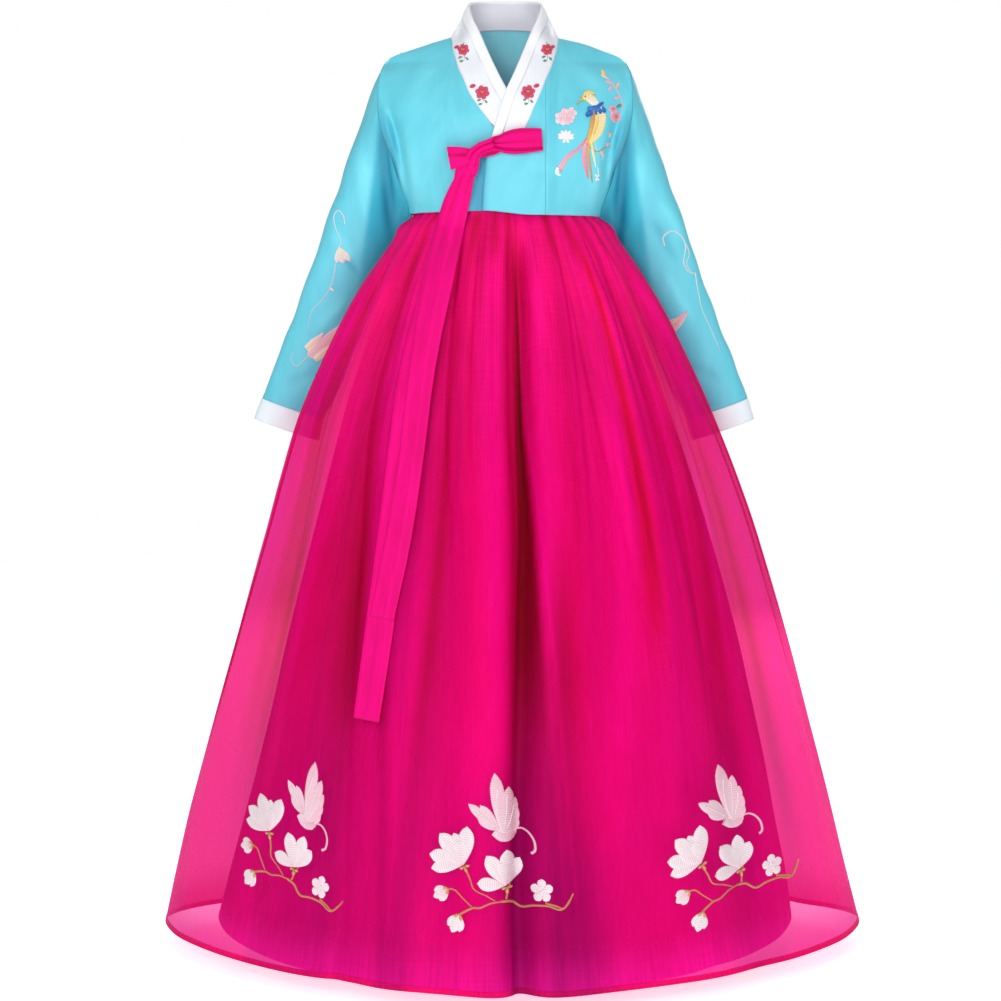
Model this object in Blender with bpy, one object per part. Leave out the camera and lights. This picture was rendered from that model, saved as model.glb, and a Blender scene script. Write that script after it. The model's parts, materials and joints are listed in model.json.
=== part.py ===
"""A korean hanbok: a short jacket with a bow (jeogori) over a long gathered skirt (chima).

Metres, +Z up. The front faces -Y and the wearer's left is +X. The origin is where the
shoulders carry the garment: midway between the neck points, on the line of the side seams.
Every cloth is a wall: a grid of points on its outer face, and the same grid moved inwards.
"""

import math
from bisect import bisect_right
from collections import namedtuple
from types import SimpleNamespace

import bmesh
import bpy
from mathutils import Vector

# ---- Cloth and seams -------------------------------------------------------------------

WALL = 0.0015           # satin with its interlining
SHEER_WALL = 0.0012     # the skirt's organza
BAND_WALL = 0.0030      # chest band, two layers
STRIP_WALL = 0.0010     # collar strip
SEAM = 0.0003           # gap between pieces that are sewn together
OVERLAP_LIFT = 0.0042   # the left front lies this far out from the right front
TINY = 1e-6

TURQUOISE = (0.22, 0.67, 0.84)
WHITE = (0.86, 0.86, 0.91)
LAVENDER_WHITE = (0.78, 0.76, 0.87)
MAGENTA = (0.78, 0.0, 0.16)
MAGENTA_SHEER = (0.84, 0.03, 0.25)

# ---- Jacket body -----------------------------------------------------------------------

DOME = 0.15             # height over which the front and back round over into the shoulder
DOME_ROUNDNESS = 1.4
PANEL_ROUNDNESS = 2.3
NECK_HALF_WIDTH = 0.0775
NECK_BACK = 0.070

Shoulder = namedtuple("Shoulder", "x z")
SHOULDER_LINE = (
    Shoulder(0.0000, 0.0238),
    Shoulder(0.0775, 0.0035),
    Shoulder(0.1118, -0.0055),
    Shoulder(0.1468, -0.0179),
    Shoulder(0.1663, -0.0252),
    Shoulder(0.1775, -0.0345),
)

# The neckline of the back, on which the collar stands.
BACK_NECK = (
    Shoulder(0.0000, 0.0220),
    Shoulder(0.0340, 0.0200),
    Shoulder(0.0600, 0.0135),
    Shoulder(0.0775, 0.0035),
)

# The armhole seam and, below it, the side seam: how far out, how far forward and back,
# and where the panel turns into the body's side beside it, in a valley.
Armhole = namedtuple("Armhole", "z x y valley_x valley corner")
ARMHOLE = (
    Armhole(-0.0345, 0.1775, 0.000, 0.175, 0.000, 1.2),
    Armhole(-0.0500, 0.1820, 0.022, 0.175, 0.000, 1.2),
    Armhole(-0.0770, 0.1853, 0.040, 0.172, 0.000, 1.2),
    Armhole(-0.1000, 0.1855, 0.047, 0.168, 0.004, 1.3),
    Armhole(-0.1300, 0.1810, 0.049, 0.159, 0.015, 1.5),
    Armhole(-0.1500, 0.1755, 0.046, 0.154, 0.018, 1.7),
    Armhole(-0.1800, 0.1650, 0.037, 0.148, 0.016, 1.9),
    Armhole(-0.2150, 0.1535, 0.020, 0.144, 0.007, 2.1),
    Armhole(-0.2450, 0.1420, 0.000, 0.140, 0.000, 2.2),
    Armhole(-0.2650, 0.1390, 0.000, 0.139, 0.000, 2.2),
)
VALLEY_WIDTH = 0.008
UNDERARM_Z = -0.2450

Depth = namedtuple("Depth", "z front back")
BODY_DEPTH = (
    Depth(0.0300, 0.100, 0.085),
    Depth(-0.0500, 0.1035, 0.092),
    Depth(-0.1200, 0.1095, 0.0985),
    Depth(-0.2000, 0.1095, 0.0985),
    Depth(-0.2650, 0.1095, 0.0990),
)

HEM_RIGHT = -0.2545     # jacket hem at the wearer's right side seam
HEM_LEFT = -0.2590
HEM_OVERLAP = -0.2530   # at the front edge of the left front
OVERLAP_TOP_X = -0.0260
OVERLAP_HEM_X = -0.0334
OVERLAP_TOP_DROP = 0.0015   # from the collar's end to the overlap's free corner
UNDER_EDGE_X = 0.0350   # the right front ends here, under the left one

# Heights of a panel's rows, as shares of the way from its top to the underarm.
PANEL_ROWS = (0.0, 0.03, 0.08, 0.16, 0.26, 0.38, 0.51, 0.64, 0.78, 0.92, 1.0)
# Columns from the neck point out to the armhole, as shares of that way.
OUTER_COLUMNS = (0.0, 0.20, 0.40, 0.56, 0.68, 0.76, 0.83, 0.92, 1.0)
BACK_NECK_COLUMNS = (-0.0690, -0.0560, -0.0400, -0.0200, 0.0, 0.0200, 0.0400, 0.0560, 0.0690)
HEM_CROWDING = 0.85     # below 1, hem columns crowd less where a panel turns round the side
SHOULDER_LIFT = 0.004   # run of the shoulder's slope over which its own direction is read

# ---- Collar ----------------------------------------------------------------------------

# Stations along the collar. The inner edge stands free and has its own depth, the outer
# edge lies on the jacket. Where depth is None, the inner edge lies on the chest too.
Station = namedtuple("Station", "inner_x depth inner_z outer_x outer_z")
COLLAR_BACK = (
    Station(0.0000, 0.048, 0.0610, 0.0000, 0.0220),
    Station(0.0240, 0.043, 0.0605, 0.0340, 0.0200),
    Station(0.0410, 0.027, 0.0580, 0.0600, 0.0135),
    Station(0.0520, 0.003, 0.0520, 0.0775, 0.0035),
)
COLLAR_LEFT = (
    Station(0.0500, -0.022, 0.0350, 0.0765, -0.0100),
    Station(0.0400, -0.042, 0.0120, 0.0735, -0.0240),
    Station(0.0290, -0.060, -0.0150, 0.0670, -0.0450),
    Station(0.0180, -0.080, -0.0430, 0.0580, -0.0665),
    Station(0.0100, None, -0.0620, 0.0505, -0.0860),
    Station(0.0019, None, -0.0795, 0.0440, -0.1005),
    Station(-0.0035, None, -0.0960, 0.0390, -0.1115),
    Station(-0.0085, None, -0.1130, 0.0350, -0.1220),
    Station(-0.0137, None, -0.1300, 0.0320, -0.1282),
    Station(-0.0198, None, -0.1500, 0.0288, -0.1375),
)
COLLAR_RIGHT = (
    Station(-0.0505, -0.022, 0.0350, -0.0770, -0.0100),
    Station(-0.0395, -0.042, 0.0120, -0.0748, -0.0240),
    Station(-0.0280, -0.060, -0.0150, -0.0685, -0.0450),
    Station(-0.0160, -0.080, -0.0430, -0.0600, -0.0640),
    Station(-0.0070, None, -0.0620, -0.0515, -0.0850),
    Station(0.0019, None, -0.0795, -0.0420, -0.0995),
    Station(0.0070, None, -0.0910, -0.0355, -0.1090),
    Station(0.0125, None, -0.1030, -0.0285, -0.1180),
    Station(0.0190, None, -0.1165, -0.0225, -0.1260),
    Station(0.0250, None, -0.1300, -0.0165, -0.1335),
)
GUSSET_STATION = 3      # the seop's seam meets the collar here
STRIP_SHARE = 0.34      # of the collar's width, from its inner edge
COLLAR_ACROSS = (0.0, STRIP_SHARE, 0.67, 1.0)

# ---- Sleeves ---------------------------------------------------------------------------

# Rings of the left sleeve: its outer edge, its inner edge, half its thickness, and how much
# the ring still follows the armhole's seam.
SleeveRing = namedtuple(
    "SleeveRing", "outer_x outer_y outer_z inner_x inner_y inner_z half_depth seam")
SLEEVE_RINGS = (
    SleeveRing(0.1775, 0.000, -0.0345, 0.1420, 0.000, -0.2450, 0.049, 1.00),
    SleeveRing(0.1905, 0.003, -0.0620, 0.1430, 0.018, -0.2600, 0.050, 0.95),
    SleeveRing(0.2060, 0.008, -0.1010, 0.1515, 0.052, -0.2850, 0.050, 0.70),
    SleeveRing(0.2230, 0.016, -0.1480, 0.1650, 0.071, -0.3150, 0.048, 0.35),
    SleeveRing(0.2430, 0.029, -0.2030, 0.1835, 0.087, -0.3510, 0.046, 0.10),
    SleeveRing(0.2650, 0.047, -0.2620, 0.2025, 0.101, -0.3930, 0.044, 0.00),
    SleeveRing(0.2890, 0.068, -0.3260, 0.2220, 0.111, -0.4400, 0.042, 0.00),
    SleeveRing(0.3150, 0.087, -0.3920, 0.2420, 0.121, -0.4870, 0.040, 0.00),
    SleeveRing(0.3420, 0.102, -0.4590, 0.2610, 0.129, -0.5290, 0.038, 0.00),
    SleeveRing(0.3690, 0.113, -0.5270, 0.2770, 0.135, -0.5600, 0.036, 0.00),
    SleeveRing(0.3805, 0.117, -0.5580, 0.2860, 0.138, -0.5920, 0.036, 0.00),
)

# ---- Skirt -----------------------------------------------------------------------------

# Sections of the sheer skirt and its lining: half the width, how far they reach forward
# and back, how square they are (2 is an ellipse) and how far they lean to the left.
Section = namedtuple("Section", "z half_width front back square lean")
SHELL_SECTIONS = (
    Section(-0.2003, 0.1305, 0.1073, 0.0965, 2.30, 0.0000),
    Section(-0.2150, 0.1315, 0.1040, 0.0935, 2.30, 0.0000),
    Section(-0.2595, 0.1330, 0.1040, 0.0935, 2.25, 0.0000),
    Section(-0.2645, 0.1415, 0.1075, 0.0965, 2.22, 0.0003),
    Section(-0.2750, 0.1520, 0.1125, 0.1000, 2.18, 0.0005),
    Section(-0.2913, 0.1640, 0.1188, 0.1050, 2.15, 0.0010),
    Section(-0.3250, 0.1890, 0.1344, 0.1174, 2.10, 0.0010),
    Section(-0.3704, 0.2170, 0.1530, 0.1324, 2.05, 0.0010),
    Section(-0.4381, 0.2530, 0.1780, 0.1530, 1.98, 0.0010),
    Section(-0.5502, 0.3045, 0.2165, 0.1840, 1.90, 0.0020),
    Section(-0.6390, 0.3365, 0.2430, 0.2060, 1.85, 0.0060),
    Section(-0.7312, 0.3660, 0.2694, 0.2274, 1.80, 0.0090),
    Section(-0.8819, 0.4115, 0.3110, 0.2614, 1.74, 0.0090),
    Section(-1.0034, 0.4450, 0.3437, 0.2880, 1.70, 0.0080),
    Section(-1.1345, 0.4795, 0.3780, 0.3160, 1.66, 0.0080),
    Section(-1.2147, 0.4980, 0.3976, 0.3317, 1.65, 0.0090),
    Section(-1.3030, 0.5190, 0.4200, 0.3500, 1.65, 0.0110),
)
LINING_SECTIONS = (
    Section(-0.2003, 0.1289, 0.1057, 0.0949, 2.30, 0.0000),
    Section(-0.2150, 0.1295, 0.1020, 0.0915, 2.30, 0.0000),
    Section(-0.2620, 0.1305, 0.1016, 0.0911, 2.25, 0.0000),
    Section(-0.3000, 0.1450, 0.1165, 0.1025, 2.20, 0.0010),
    Section(-0.4000, 0.1860, 0.1540, 0.1330, 2.10, 0.0010),
    Section(-0.5000, 0.2230, 0.1880, 0.1610, 2.00, 0.0020),
    Section(-0.6049, 0.2570, 0.2190, 0.1870, 1.95, 0.0060),
    Section(-0.6969, 0.2845, 0.2430, 0.2070, 1.90, 0.0090),
    Section(-0.7982, 0.3137, 0.2710, 0.2290, 1.86, 0.0100),
    Section(-0.8849, 0.3370, 0.2940, 0.2480, 1.83, 0.0100),
    Section(-0.9734, 0.3570, 0.3170, 0.2660, 1.80, 0.0100),
    Section(-1.0636, 0.3780, 0.3400, 0.2840, 1.78, 0.0090),
    Section(-1.1542, 0.3980, 0.3630, 0.3030, 1.76, 0.0060),
    Section(-1.2344, 0.4165, 0.3840, 0.3180, 1.75, 0.0040),
    Section(-1.2950, 0.4285, 0.4000, 0.3290, 1.75, 0.0000),
)
SHELL_COLUMNS = 144
SHELL_RINGS = (
    -0.2003, -0.2150, -0.2595, -0.2645, -0.2780, -0.3120, -0.3800, -0.4900, -0.6390,
    -0.8200, -1.0034, -1.1500, -1.3030)
LINING_COLUMNS = 72
LINING_RINGS = (-0.2003, -0.2150, -0.2620, -0.3400, -0.4600, -0.6400, -0.8500, -1.0800, -1.2950)
BAND_COLUMNS = 40
HEM_DROP_FRONT = 0.008      # how far the hem hangs lower there than at the sides
HEM_DROP_BACK = 0.020
HEM_DROP_POINT = 1.3        # above 1, the drop gathers towards the middle
HEM_DROP_ONSET = 3          # power of the height at which the cloth starts to drop

GATHERS = 36
GATHER_HEIGHT = 0.0034
GATHER_RISE = 0.03
GATHER_STRAY = 0.8      # how far they stray from even steps, in radians
GATHER_UNEVEN = 0.25    # how much lower the lowest are
GATHER_FADE = 0.22      # they have run out this far below the jacket

# Broad folds, by their angle from the front centre towards the wearer's left, at the waist
# and at the hem. A fold with negative depth is a trough.
Fold = namedtuple("Fold", "waist_angle hem_angle depth width start end")
FOLDS = (
    Fold(4.5, 2.2, -0.026, 3.8, -0.262, -1.250),
    Fold(-7.0, -6.0, 0.007, 6.0, -0.270, -1.200),
    Fold(13.0, 10.0, 0.009, 7.0, -0.270, -1.220),
    Fold(27.0, 24.0, -0.007, 6.0, -0.270, -1.000),
    Fold(38.0, 36.0, 0.006, 6.0, -0.300, -1.150),
    Fold(47.0, 46.0, -0.012, 4.5, -0.280, -1.120),
    Fold(60.0, 58.0, -0.008, 4.0, -0.290, -0.800),
    Fold(70.0, 68.0, 0.007, 6.0, -0.300, -1.100),
    Fold(-20.0, -15.0, -0.007, 5.0, -0.270, -1.050),
    Fold(-33.0, -24.0, 0.007, 6.0, -0.280, -1.150),
    Fold(-46.0, -31.0, -0.012, 5.0, -0.270, -1.200),
    Fold(-56.0, -44.0, 0.006, 5.0, -0.300, -1.050),
    Fold(-64.0, -55.0, -0.010, 4.5, -0.290, -0.950),
    Fold(-76.0, -71.0, 0.006, 6.0, -0.300, -1.100),
    Fold(84.0, 84.0, -0.006, 5.0, -0.300, -1.000),
    Fold(98.0, 100.0, 0.007, 6.0, -0.290, -1.150),
    Fold(112.0, 116.0, -0.010, 5.0, -0.280, -1.180),
    Fold(127.0, 130.0, 0.008, 7.0, -0.280, -1.050),
    Fold(143.0, 148.0, -0.011, 5.0, -0.270, -1.150),
    Fold(160.0, 161.0, 0.007, 6.0, -0.280, -1.200),
    Fold(176.0, 178.0, -0.015, 4.5, -0.262, -1.220),
    Fold(-167.0, -164.0, 0.008, 6.0, -0.280, -1.100),
    Fold(-151.0, -149.0, -0.009, 5.0, -0.270, -1.200),
    Fold(-134.0, -133.0, 0.007, 7.0, -0.290, -1.050),
    Fold(-118.0, -119.0, -0.011, 5.0, -0.280, -1.150),
    Fold(-102.0, -103.0, 0.006, 6.0, -0.290, -1.100),
    Fold(-89.0, -88.0, -0.005, 5.0, -0.300, -0.950),
)
FOLD_RISE = 0.10        # height over which a fold grows to its full depth
FOLD_FALL = 0.30        # and runs out
LINING_FOLD_SHARE = 0.85

BAND_TOP = -0.1300

# ---- Tie -------------------------------------------------------------------------------

# The bow's centre line from the tip of the ear to the knot's right end.
KNOT_FROM = (-0.0500, -0.1730)
KNOT_TO = (0.0000, -0.1575)
KNOT_HALF_HEIGHT = 0.0138
KNOT_HALF_DEPTH = 0.0075
KNOT_CORE = 0.12            # the hollow along the rolled knot
KNOT_RIDGES = 5
KNOT_RIDGE_HEIGHT = 0.05
KNOT_UNDER = 0.975          # its lower side lies this far in, between two ridges
KNOT_TAPER = 0.80           # thickness at its ends, as a share of its middle's
LOOP_END_X = 0.0530
LOOP_LAYER_GAP = 0.0038
LOOP_LEFT = (-0.1405, -0.1690)      # top and bottom beside the knot
LOOP_RIGHT = (-0.1378, -0.1700)     # and at the loop's end
EAR_TIP_TOP = (-0.0835, 0, -0.1630)
EAR_TIP_LOW = (-0.0775, 0, -0.1960)
EAR_BULGE = 0.0045
EAR_ROOT_SHARE = 0.8        # of the knot's height
EAR_ROUNDNESS = 0.7
EAR_CROSS_BULGE = 0.4       # bulge across the ear, as a share of the one along it

# The tails, as heights with the places of their two edges.
Tail = namedtuple("Tail", "z left right")
TAIL_LONG = (
    Tail(-0.1860, -0.0610, -0.0385),
    Tail(-0.2040, -0.0726, -0.0440),
    Tail(-0.2334, -0.0868, -0.0505),
    Tail(-0.2818, -0.1020, -0.0615),
    Tail(-0.3600, -0.1205, -0.0770),
    Tail(-0.4300, -0.1380, -0.0930),
    Tail(-0.5000, -0.1530, -0.1110),
    Tail(-0.5900, -0.1640, -0.1240),
    Tail(-0.7200, -0.1800, -0.1400),
    Tail(-0.8460, -0.1960, -0.1570),
    Tail(-0.9560, -0.2100, -0.1740),
)
TAIL_SHORT = (
    Tail(-0.1860, -0.0605, -0.0380),
    Tail(-0.2040, -0.0715, -0.0430),
    Tail(-0.2334, -0.0850, -0.0490),
    Tail(-0.2818, -0.1000, -0.0595),
    Tail(-0.3600, -0.1170, -0.0750),
    Tail(-0.4300, -0.1290, -0.0900),
    Tail(-0.5000, -0.1380, -0.1020),
    Tail(-0.5900, -0.1480, -0.1130),
    Tail(-0.7000, -0.1650, -0.1290),
    Tail(-0.8180, -0.1880, -0.1545),
)
TAIL_ROW = 0.0290           # the tails' rows lie at the same heights
TAIL_CLEARANCE = 0.0018     # over the highest folds
TAIL_LAYER = 0.0030         # from the long tail's face to the short one's
TAIL_SETTLES = 0.0600       # they lie on the garment this far below the knot
TAIL_END_SLANT = 0.0150
TAIL_SLANT_ONSET = 6
FOLD_ENVELOPE = 0.0100      # the highest that folds and gathers reach in front


# ---- Curves through tables -------------------------------------------------------------

class Curve:
    """A smooth curve through a table's rows. It never overshoots them and ends level."""

    def __init__(self, keys, values):
        pairs = sorted(zip(keys, values))
        self.keys = [key for key, _ in pairs]
        self.values = [value for _, value in pairs]
        steps = [b - a for a, b in zip(self.keys, self.keys[1:])]
        rises = [b - a for a, b in zip(self.values, self.values[1:])]
        ramps = [rise / step for rise, step in zip(rises, steps)]
        self.slopes = [ramps[0]]
        for i in range(1, len(ramps)):
            before, after = ramps[i - 1], ramps[i]
            if before * after <= 0:
                self.slopes.append(0.0)
                continue
            heavy = 2 * steps[i] + steps[i - 1]
            light = steps[i] + 2 * steps[i - 1]
            self.slopes.append((heavy + light) / (heavy / before + light / after))
        self.slopes.append(ramps[-1])

    def __call__(self, key):
        key = min(max(key, self.keys[0]), self.keys[-1])
        i = min(bisect_right(self.keys, key), len(self.keys) - 1) - 1
        step = self.keys[i + 1] - self.keys[i]
        t = (key - self.keys[i]) / step
        start = (1 + 2 * t) * (1 - t) ** 2 * self.values[i]
        end = t * t * (3 - 2 * t) * self.values[i + 1]
        leave = t * (1 - t) ** 2 * step * self.slopes[i]
        arrive = t * t * (t - 1) * step * self.slopes[i + 1]
        return start + end + leave + arrive


def curves(table):
    """One curve for each named column after the first."""
    keys = [row[0] for row in table]
    made = SimpleNamespace()
    for name in type(table[0])._fields[1:]:
        setattr(made, name, Curve(keys, [getattr(row, name) for row in table]))
    return made


def ease(t):
    """0 to 1 with level ends."""
    t = min(max(t, 0.0), 1.0)
    return t * t * (3 - 2 * t)


def ease_out(t):
    """0 to 1, with closer steps near 1, where a panel turns round the side."""
    return math.sin(t * math.pi / 2) ** HEM_CROWDING


def mix(a, b, t):
    return a + (b - a) * t


shoulder = curves(SHOULDER_LINE)
back_neck = curves(BACK_NECK)
armhole = curves(ARMHOLE)
body = curves(BODY_DEPTH)
shell = curves(SHELL_SECTIONS)
lining = curves(LINING_SECTIONS)


# ---- The jacket's surface --------------------------------------------------------------

def jacket_y(side, x, z):
    """Depth of the jacket's outer face: side is -1 for the front and +1 for the back."""
    reach = abs(x)
    edge = armhole.x(z)
    across = max(0.0, 1 - min(reach / edge, 1.0) ** PANEL_ROUNDNESS) ** (1 / armhole.corner(z))
    if side < 0:
        top_y, top_z, full = 0.0, shoulder.z(reach), body.front(z)
    elif reach < NECK_HALF_WIDTH:
        top_y = NECK_BACK * math.sqrt(1 - (reach / NECK_HALF_WIDTH) ** 2)
        top_z, full = back_neck.z(reach), body.back(z)
    else:
        top_y, top_z, full = 0.0, shoulder.z(reach), body.back(z)
    below = min(max((top_z - z) / DOME, 0.0), 1.0)
    dome = (1 - (1 - below) ** 2) ** (1 / DOME_ROUNDNESS)
    depth = armhole.y(z) * (1 - across) + (top_y + (full - top_y) * dome) * across
    off_valley = (reach - armhole.valley_x(z)) / VALLEY_WIDTH
    return side * (depth - armhole.valley(z) * math.exp(-off_valley * off_valley))


def jacket_out(side, x, z):
    """Direction out of the jacket's face at a place."""
    step = 0.001
    slope_x = (jacket_y(side, x + step, z) - jacket_y(side, x - step, z)) / (2 * step)
    slope_z = (jacket_y(side, x, z + step) - jacket_y(side, x, z - step)) / (2 * step)
    return (Vector((-slope_x, 1.0, -slope_z)) * side).normalized()


def overlap_lift(x):
    """How far the left front stands out, over the right front."""
    gusset_x = COLLAR_LEFT[GUSSET_STATION].outer_x
    return OVERLAP_LIFT * ease((NECK_HALF_WIDTH - x) / (NECK_HALF_WIDTH - gusset_x))


def jacket_hem(x):
    """Height of the hem round the back and both sides."""
    side_x = ARMHOLE[-1].x
    return mix(HEM_RIGHT, HEM_LEFT, (x + side_x) / (2 * side_x))


# ---- Grids -----------------------------------------------------------------------------

def normals(grid, closed=False):
    """Unit directions square to a grid of points, by the differences between neighbours."""
    rows, columns = len(grid), len(grid[0])
    found = []
    for j in range(rows):
        row = []
        for i in range(columns):
            if closed:
                along = grid[j][(i + 1) % columns] - grid[j][i - 1]
            else:
                along = grid[j][min(i + 1, columns - 1)] - grid[j][max(i - 1, 0)]
            down = grid[min(j + 1, rows - 1)][i] - grid[max(j - 1, 0)][i]
            row.append(along.cross(down).normalized())
        found.append(row)
    return found


def moved(grid, directions, distance):
    """The grid's points moved along their directions."""
    return [[p + d * distance for p, d in zip(points, row)] for points, row in zip(grid, directions)]


def material(name, colour, roughness):
    made = bpy.data.materials.new(name)
    made.use_nodes = True
    shader = made.node_tree.nodes["Principled BSDF"]
    shader.inputs["Base Color"].default_value = (*colour, 1.0)
    shader.inputs["Roughness"].default_value = roughness
    shader.inputs["Metallic"].default_value = 0.0
    return made


def wall(name, outer, inner, colour, roughness=0.5, closed=False):
    """One solid between two grids of points, which joins up with itself if it is closed."""
    rows, columns = len(outer), len(outer[0])
    mesh = bmesh.new()
    near = [[mesh.verts.new(p) for p in row] for row in outer]
    far = [[mesh.verts.new(p) for p in row] for row in inner]
    spans = columns if closed else columns - 1

    def face(*corners):
        """A four-sided face as two triangles, split from its first corner."""
        mesh.faces.new((corners[0], corners[1], corners[2]))
        mesh.faces.new((corners[0], corners[2], corners[3]))

    for i in range(spans):
        k = (i + 1) % columns
        for j in range(rows - 1):
            face(near[j][i], near[j + 1][i], near[j + 1][k], near[j][k])
            face(far[j][i], far[j][k], far[j + 1][k], far[j + 1][i])
        face(near[0][i], near[0][k], far[0][k], far[0][i])
        face(near[-1][k], near[-1][i], far[-1][i], far[-1][k])
    if not closed:
        for j in range(rows - 1):
            face(near[j + 1][0], near[j][0], far[j][0], far[j + 1][0])
            face(near[j][-1], near[j + 1][-1], far[j + 1][-1], far[j][-1])
    bmesh.ops.recalc_face_normals(mesh, faces=mesh.faces)
    data = bpy.data.meshes.new(name)
    mesh.to_mesh(data)
    mesh.free()
    data.materials.append(material(name, colour, roughness))
    data.shade_smooth()
    data.set_sharp_from_angle(angle=math.radians(40))
    made = bpy.data.objects.new(name, data)
    bpy.context.scene.collection.objects.link(made)
    return made


# ---- Jacket panels ---------------------------------------------------------------------

# A column of a panel: where it starts, where it meets the hem, and how much of the armhole's
# curve it follows.
Column = namedtuple("Column", "top_x top_z hem_x follows")


def panel(side, columns, hem_of, seam_shift=0.0, lift=0.0):
    """A grid of points on the jacket, row by row from the top. The last row lies on the hem."""
    grid = []
    for share in (*PANEL_ROWS, None):
        row = []
        for column in columns:
            hem_z = hem_of(column.hem_x)
            z = hem_z if share is None else mix(column.top_z, UNDERARM_Z, share)
            way = ease((column.top_z - z) / (column.top_z - hem_z))
            sign = 1 if column.hem_x > 0 else -1
            straight = mix(armhole.x(column.top_z), armhole.x(hem_z), way)
            x = mix(column.top_x, column.hem_x, way) + sign * column.follows * (armhole.x(z) - straight)
            y = jacket_y(side, x, z) + seam_shift * side
            if lift:
                y -= overlap_lift(x) * lift
            row.append(Vector((x, y, z)))
        grid.append(row)
    return grid


def outer_columns(sign):
    """A panel's columns from the neck point to the armhole, on the wearer's left for sign 1."""
    seam_x, hem_x = ARMHOLE[0].x, ARMHOLE[-1].x
    made = []
    for share in OUTER_COLUMNS:
        x = mix(NECK_HALF_WIDTH, seam_x, share)
        made.append(Column(sign * x, shoulder.z(x), sign * mix(NECK_HALF_WIDTH, hem_x, share), share))
    return made


def collar_columns(stations):
    """Columns that start where the collar's outer edge lies."""
    return [Column(s.outer_x, s.outer_z, 0.0, 0.0) for s in reversed(stations)]


def spread_hems(columns, first_hem_x):
    """The same columns with their hem ends spread from first_hem_x to the last one."""
    last_hem_x = columns[-1].hem_x
    count = len(columns) - 1
    made = []
    for i, column in enumerate(columns):
        made.append(column._replace(hem_x=mix(first_hem_x, last_hem_x, ease_out(i / count))))
    return made


def left_front_columns():
    inner = collar_columns(COLLAR_LEFT[:GUSSET_STATION + 1])
    return spread_hems(inner + outer_columns(1), COLLAR_LEFT[GUSSET_STATION].outer_x)


def right_front_columns():
    end = COLLAR_RIGHT[-1]
    hidden = [Column(x, end.inner_z, 0.0, 0.0) for x in (UNDER_EDGE_X, end.inner_x)]
    return spread_hems(hidden + collar_columns(COLLAR_RIGHT) + outer_columns(-1), UNDER_EDGE_X)


def gusset_columns():
    """From the left front's free edge to the gusset's seam."""
    end = COLLAR_LEFT[-1]
    columns = [
        Column(OVERLAP_TOP_X, end.inner_z - OVERLAP_TOP_DROP, 0.0, 0.0),
        Column(end.inner_x, end.inner_z, 0.0, 0.0)]
    columns += collar_columns(COLLAR_LEFT[GUSSET_STATION:])
    seam_x = COLLAR_LEFT[GUSSET_STATION].outer_x
    count = len(columns) - 1
    return [c._replace(hem_x=mix(OVERLAP_HEM_X, seam_x, i / count)) for i, c in enumerate(columns)]


def back_columns():
    """From the wearer's right armhole to the left one."""
    neck = [Column(x, back_neck.z(abs(x)), x, 0.0) for x in BACK_NECK_COLUMNS]
    return outer_columns(-1)[::-1] + neck + outer_columns(1)


def left_front_hem(x):
    """The overlapping hem: a little higher at its free edge, and down to the side seam's height."""
    run = NECK_HALF_WIDTH / 2 - OVERLAP_HEM_X
    return mix(HEM_OVERLAP, HEM_LEFT, ease((x - OVERLAP_HEM_X) / run))


def right_front_hem(x):
    """The right front's hem, hidden past the overlap."""
    return mix(HEM_OVERLAP, HEM_RIGHT, ease(-x / ARMHOLE[-1].x))


def outward(directions, side):
    """The same directions, turned to point out of the front (-1) or the back (+1)."""
    return [[-d if d.y * side < 0 else d for d in row] for row in directions]


def shoulder_out(x):
    """Direction up out of the shoulder seam."""
    reach, half_step = abs(x), SHOULDER_LIFT / 2
    slope = shoulder.z(reach + half_step) - shoulder.z(reach - half_step)
    return Vector((-slope * math.copysign(1, x), 0.0, SHOULDER_LIFT)).normalized()


def jacket_outward(side, grid):
    """Directions out of a jacket panel. Along the shoulder seam they are square to it, and along
    the side seam they point out sideways."""
    directions = outward(normals(grid), side)
    for i, point in enumerate(grid[0]):
        past_neck = abs(point.x) >= NECK_HALF_WIDTH - TINY
        if past_neck:
            directions[0][i] = shoulder_out(point.x)
        elif side < 0:
            directions[0][i] = jacket_out(side, point.x, point.z)
    for row, out_row in list(zip(grid, directions))[-2:]:
        for i in (0, -1):
            if abs(row[i].x) > NECK_HALF_WIDTH:
                out_row[i] = Vector((math.copysign(1, row[i].x), 0.0, 0.0))
    return directions


# ---- Sleeves ---------------------------------------------------------------------------

def sleeve_turns():
    """Angles round a sleeve, from its outer edge round the front and back, at the panels' rows."""
    front = [math.acos(1 - 2 * share) for share in PANEL_ROWS]
    back = [2 * math.pi - turn for turn in reversed(front[1:-1])]
    return front + back


def sleeve_section(ring, sign):
    """One ring of the left (1) or right (-1) sleeve."""
    outer = Vector((sign * ring.outer_x, ring.outer_y, ring.outer_z))
    inner = Vector((sign * ring.inner_x, ring.inner_y, ring.inner_z))
    centre, half = (outer + inner) / 2, (outer - inner) / 2
    forward = Vector((0.0, -ring.half_depth, 0.0))
    return [centre + half * math.cos(turn) + forward * math.sin(turn) for turn in sleeve_turns()]


def armhole_loop(front, back, sign):
    """The armhole's points: down the front's edge, then up the back's, without the hem."""
    front_edge = [row[-1].copy() for row in front[:-1]]
    back_edge = [row[-1 if sign > 0 else 0].copy() for row in back[:-1]]
    for seam_point in (front_edge[0], front_edge[-1]):
        seam_point.y = 0.0
    return front_edge + back_edge[-2:0:-1]


def sleeve_grid(loop, sign):
    """Rings from the armhole to the cuff's end. The first follows the armhole."""
    plain = sleeve_section(SLEEVE_RINGS[0], sign)
    grid = []
    for ring in SLEEVE_RINGS:
        section = sleeve_section(ring, sign)
        grid.append([p + (a - b) * ring.seam for p, a, b in zip(section, loop, plain)])
    return grid


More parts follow.
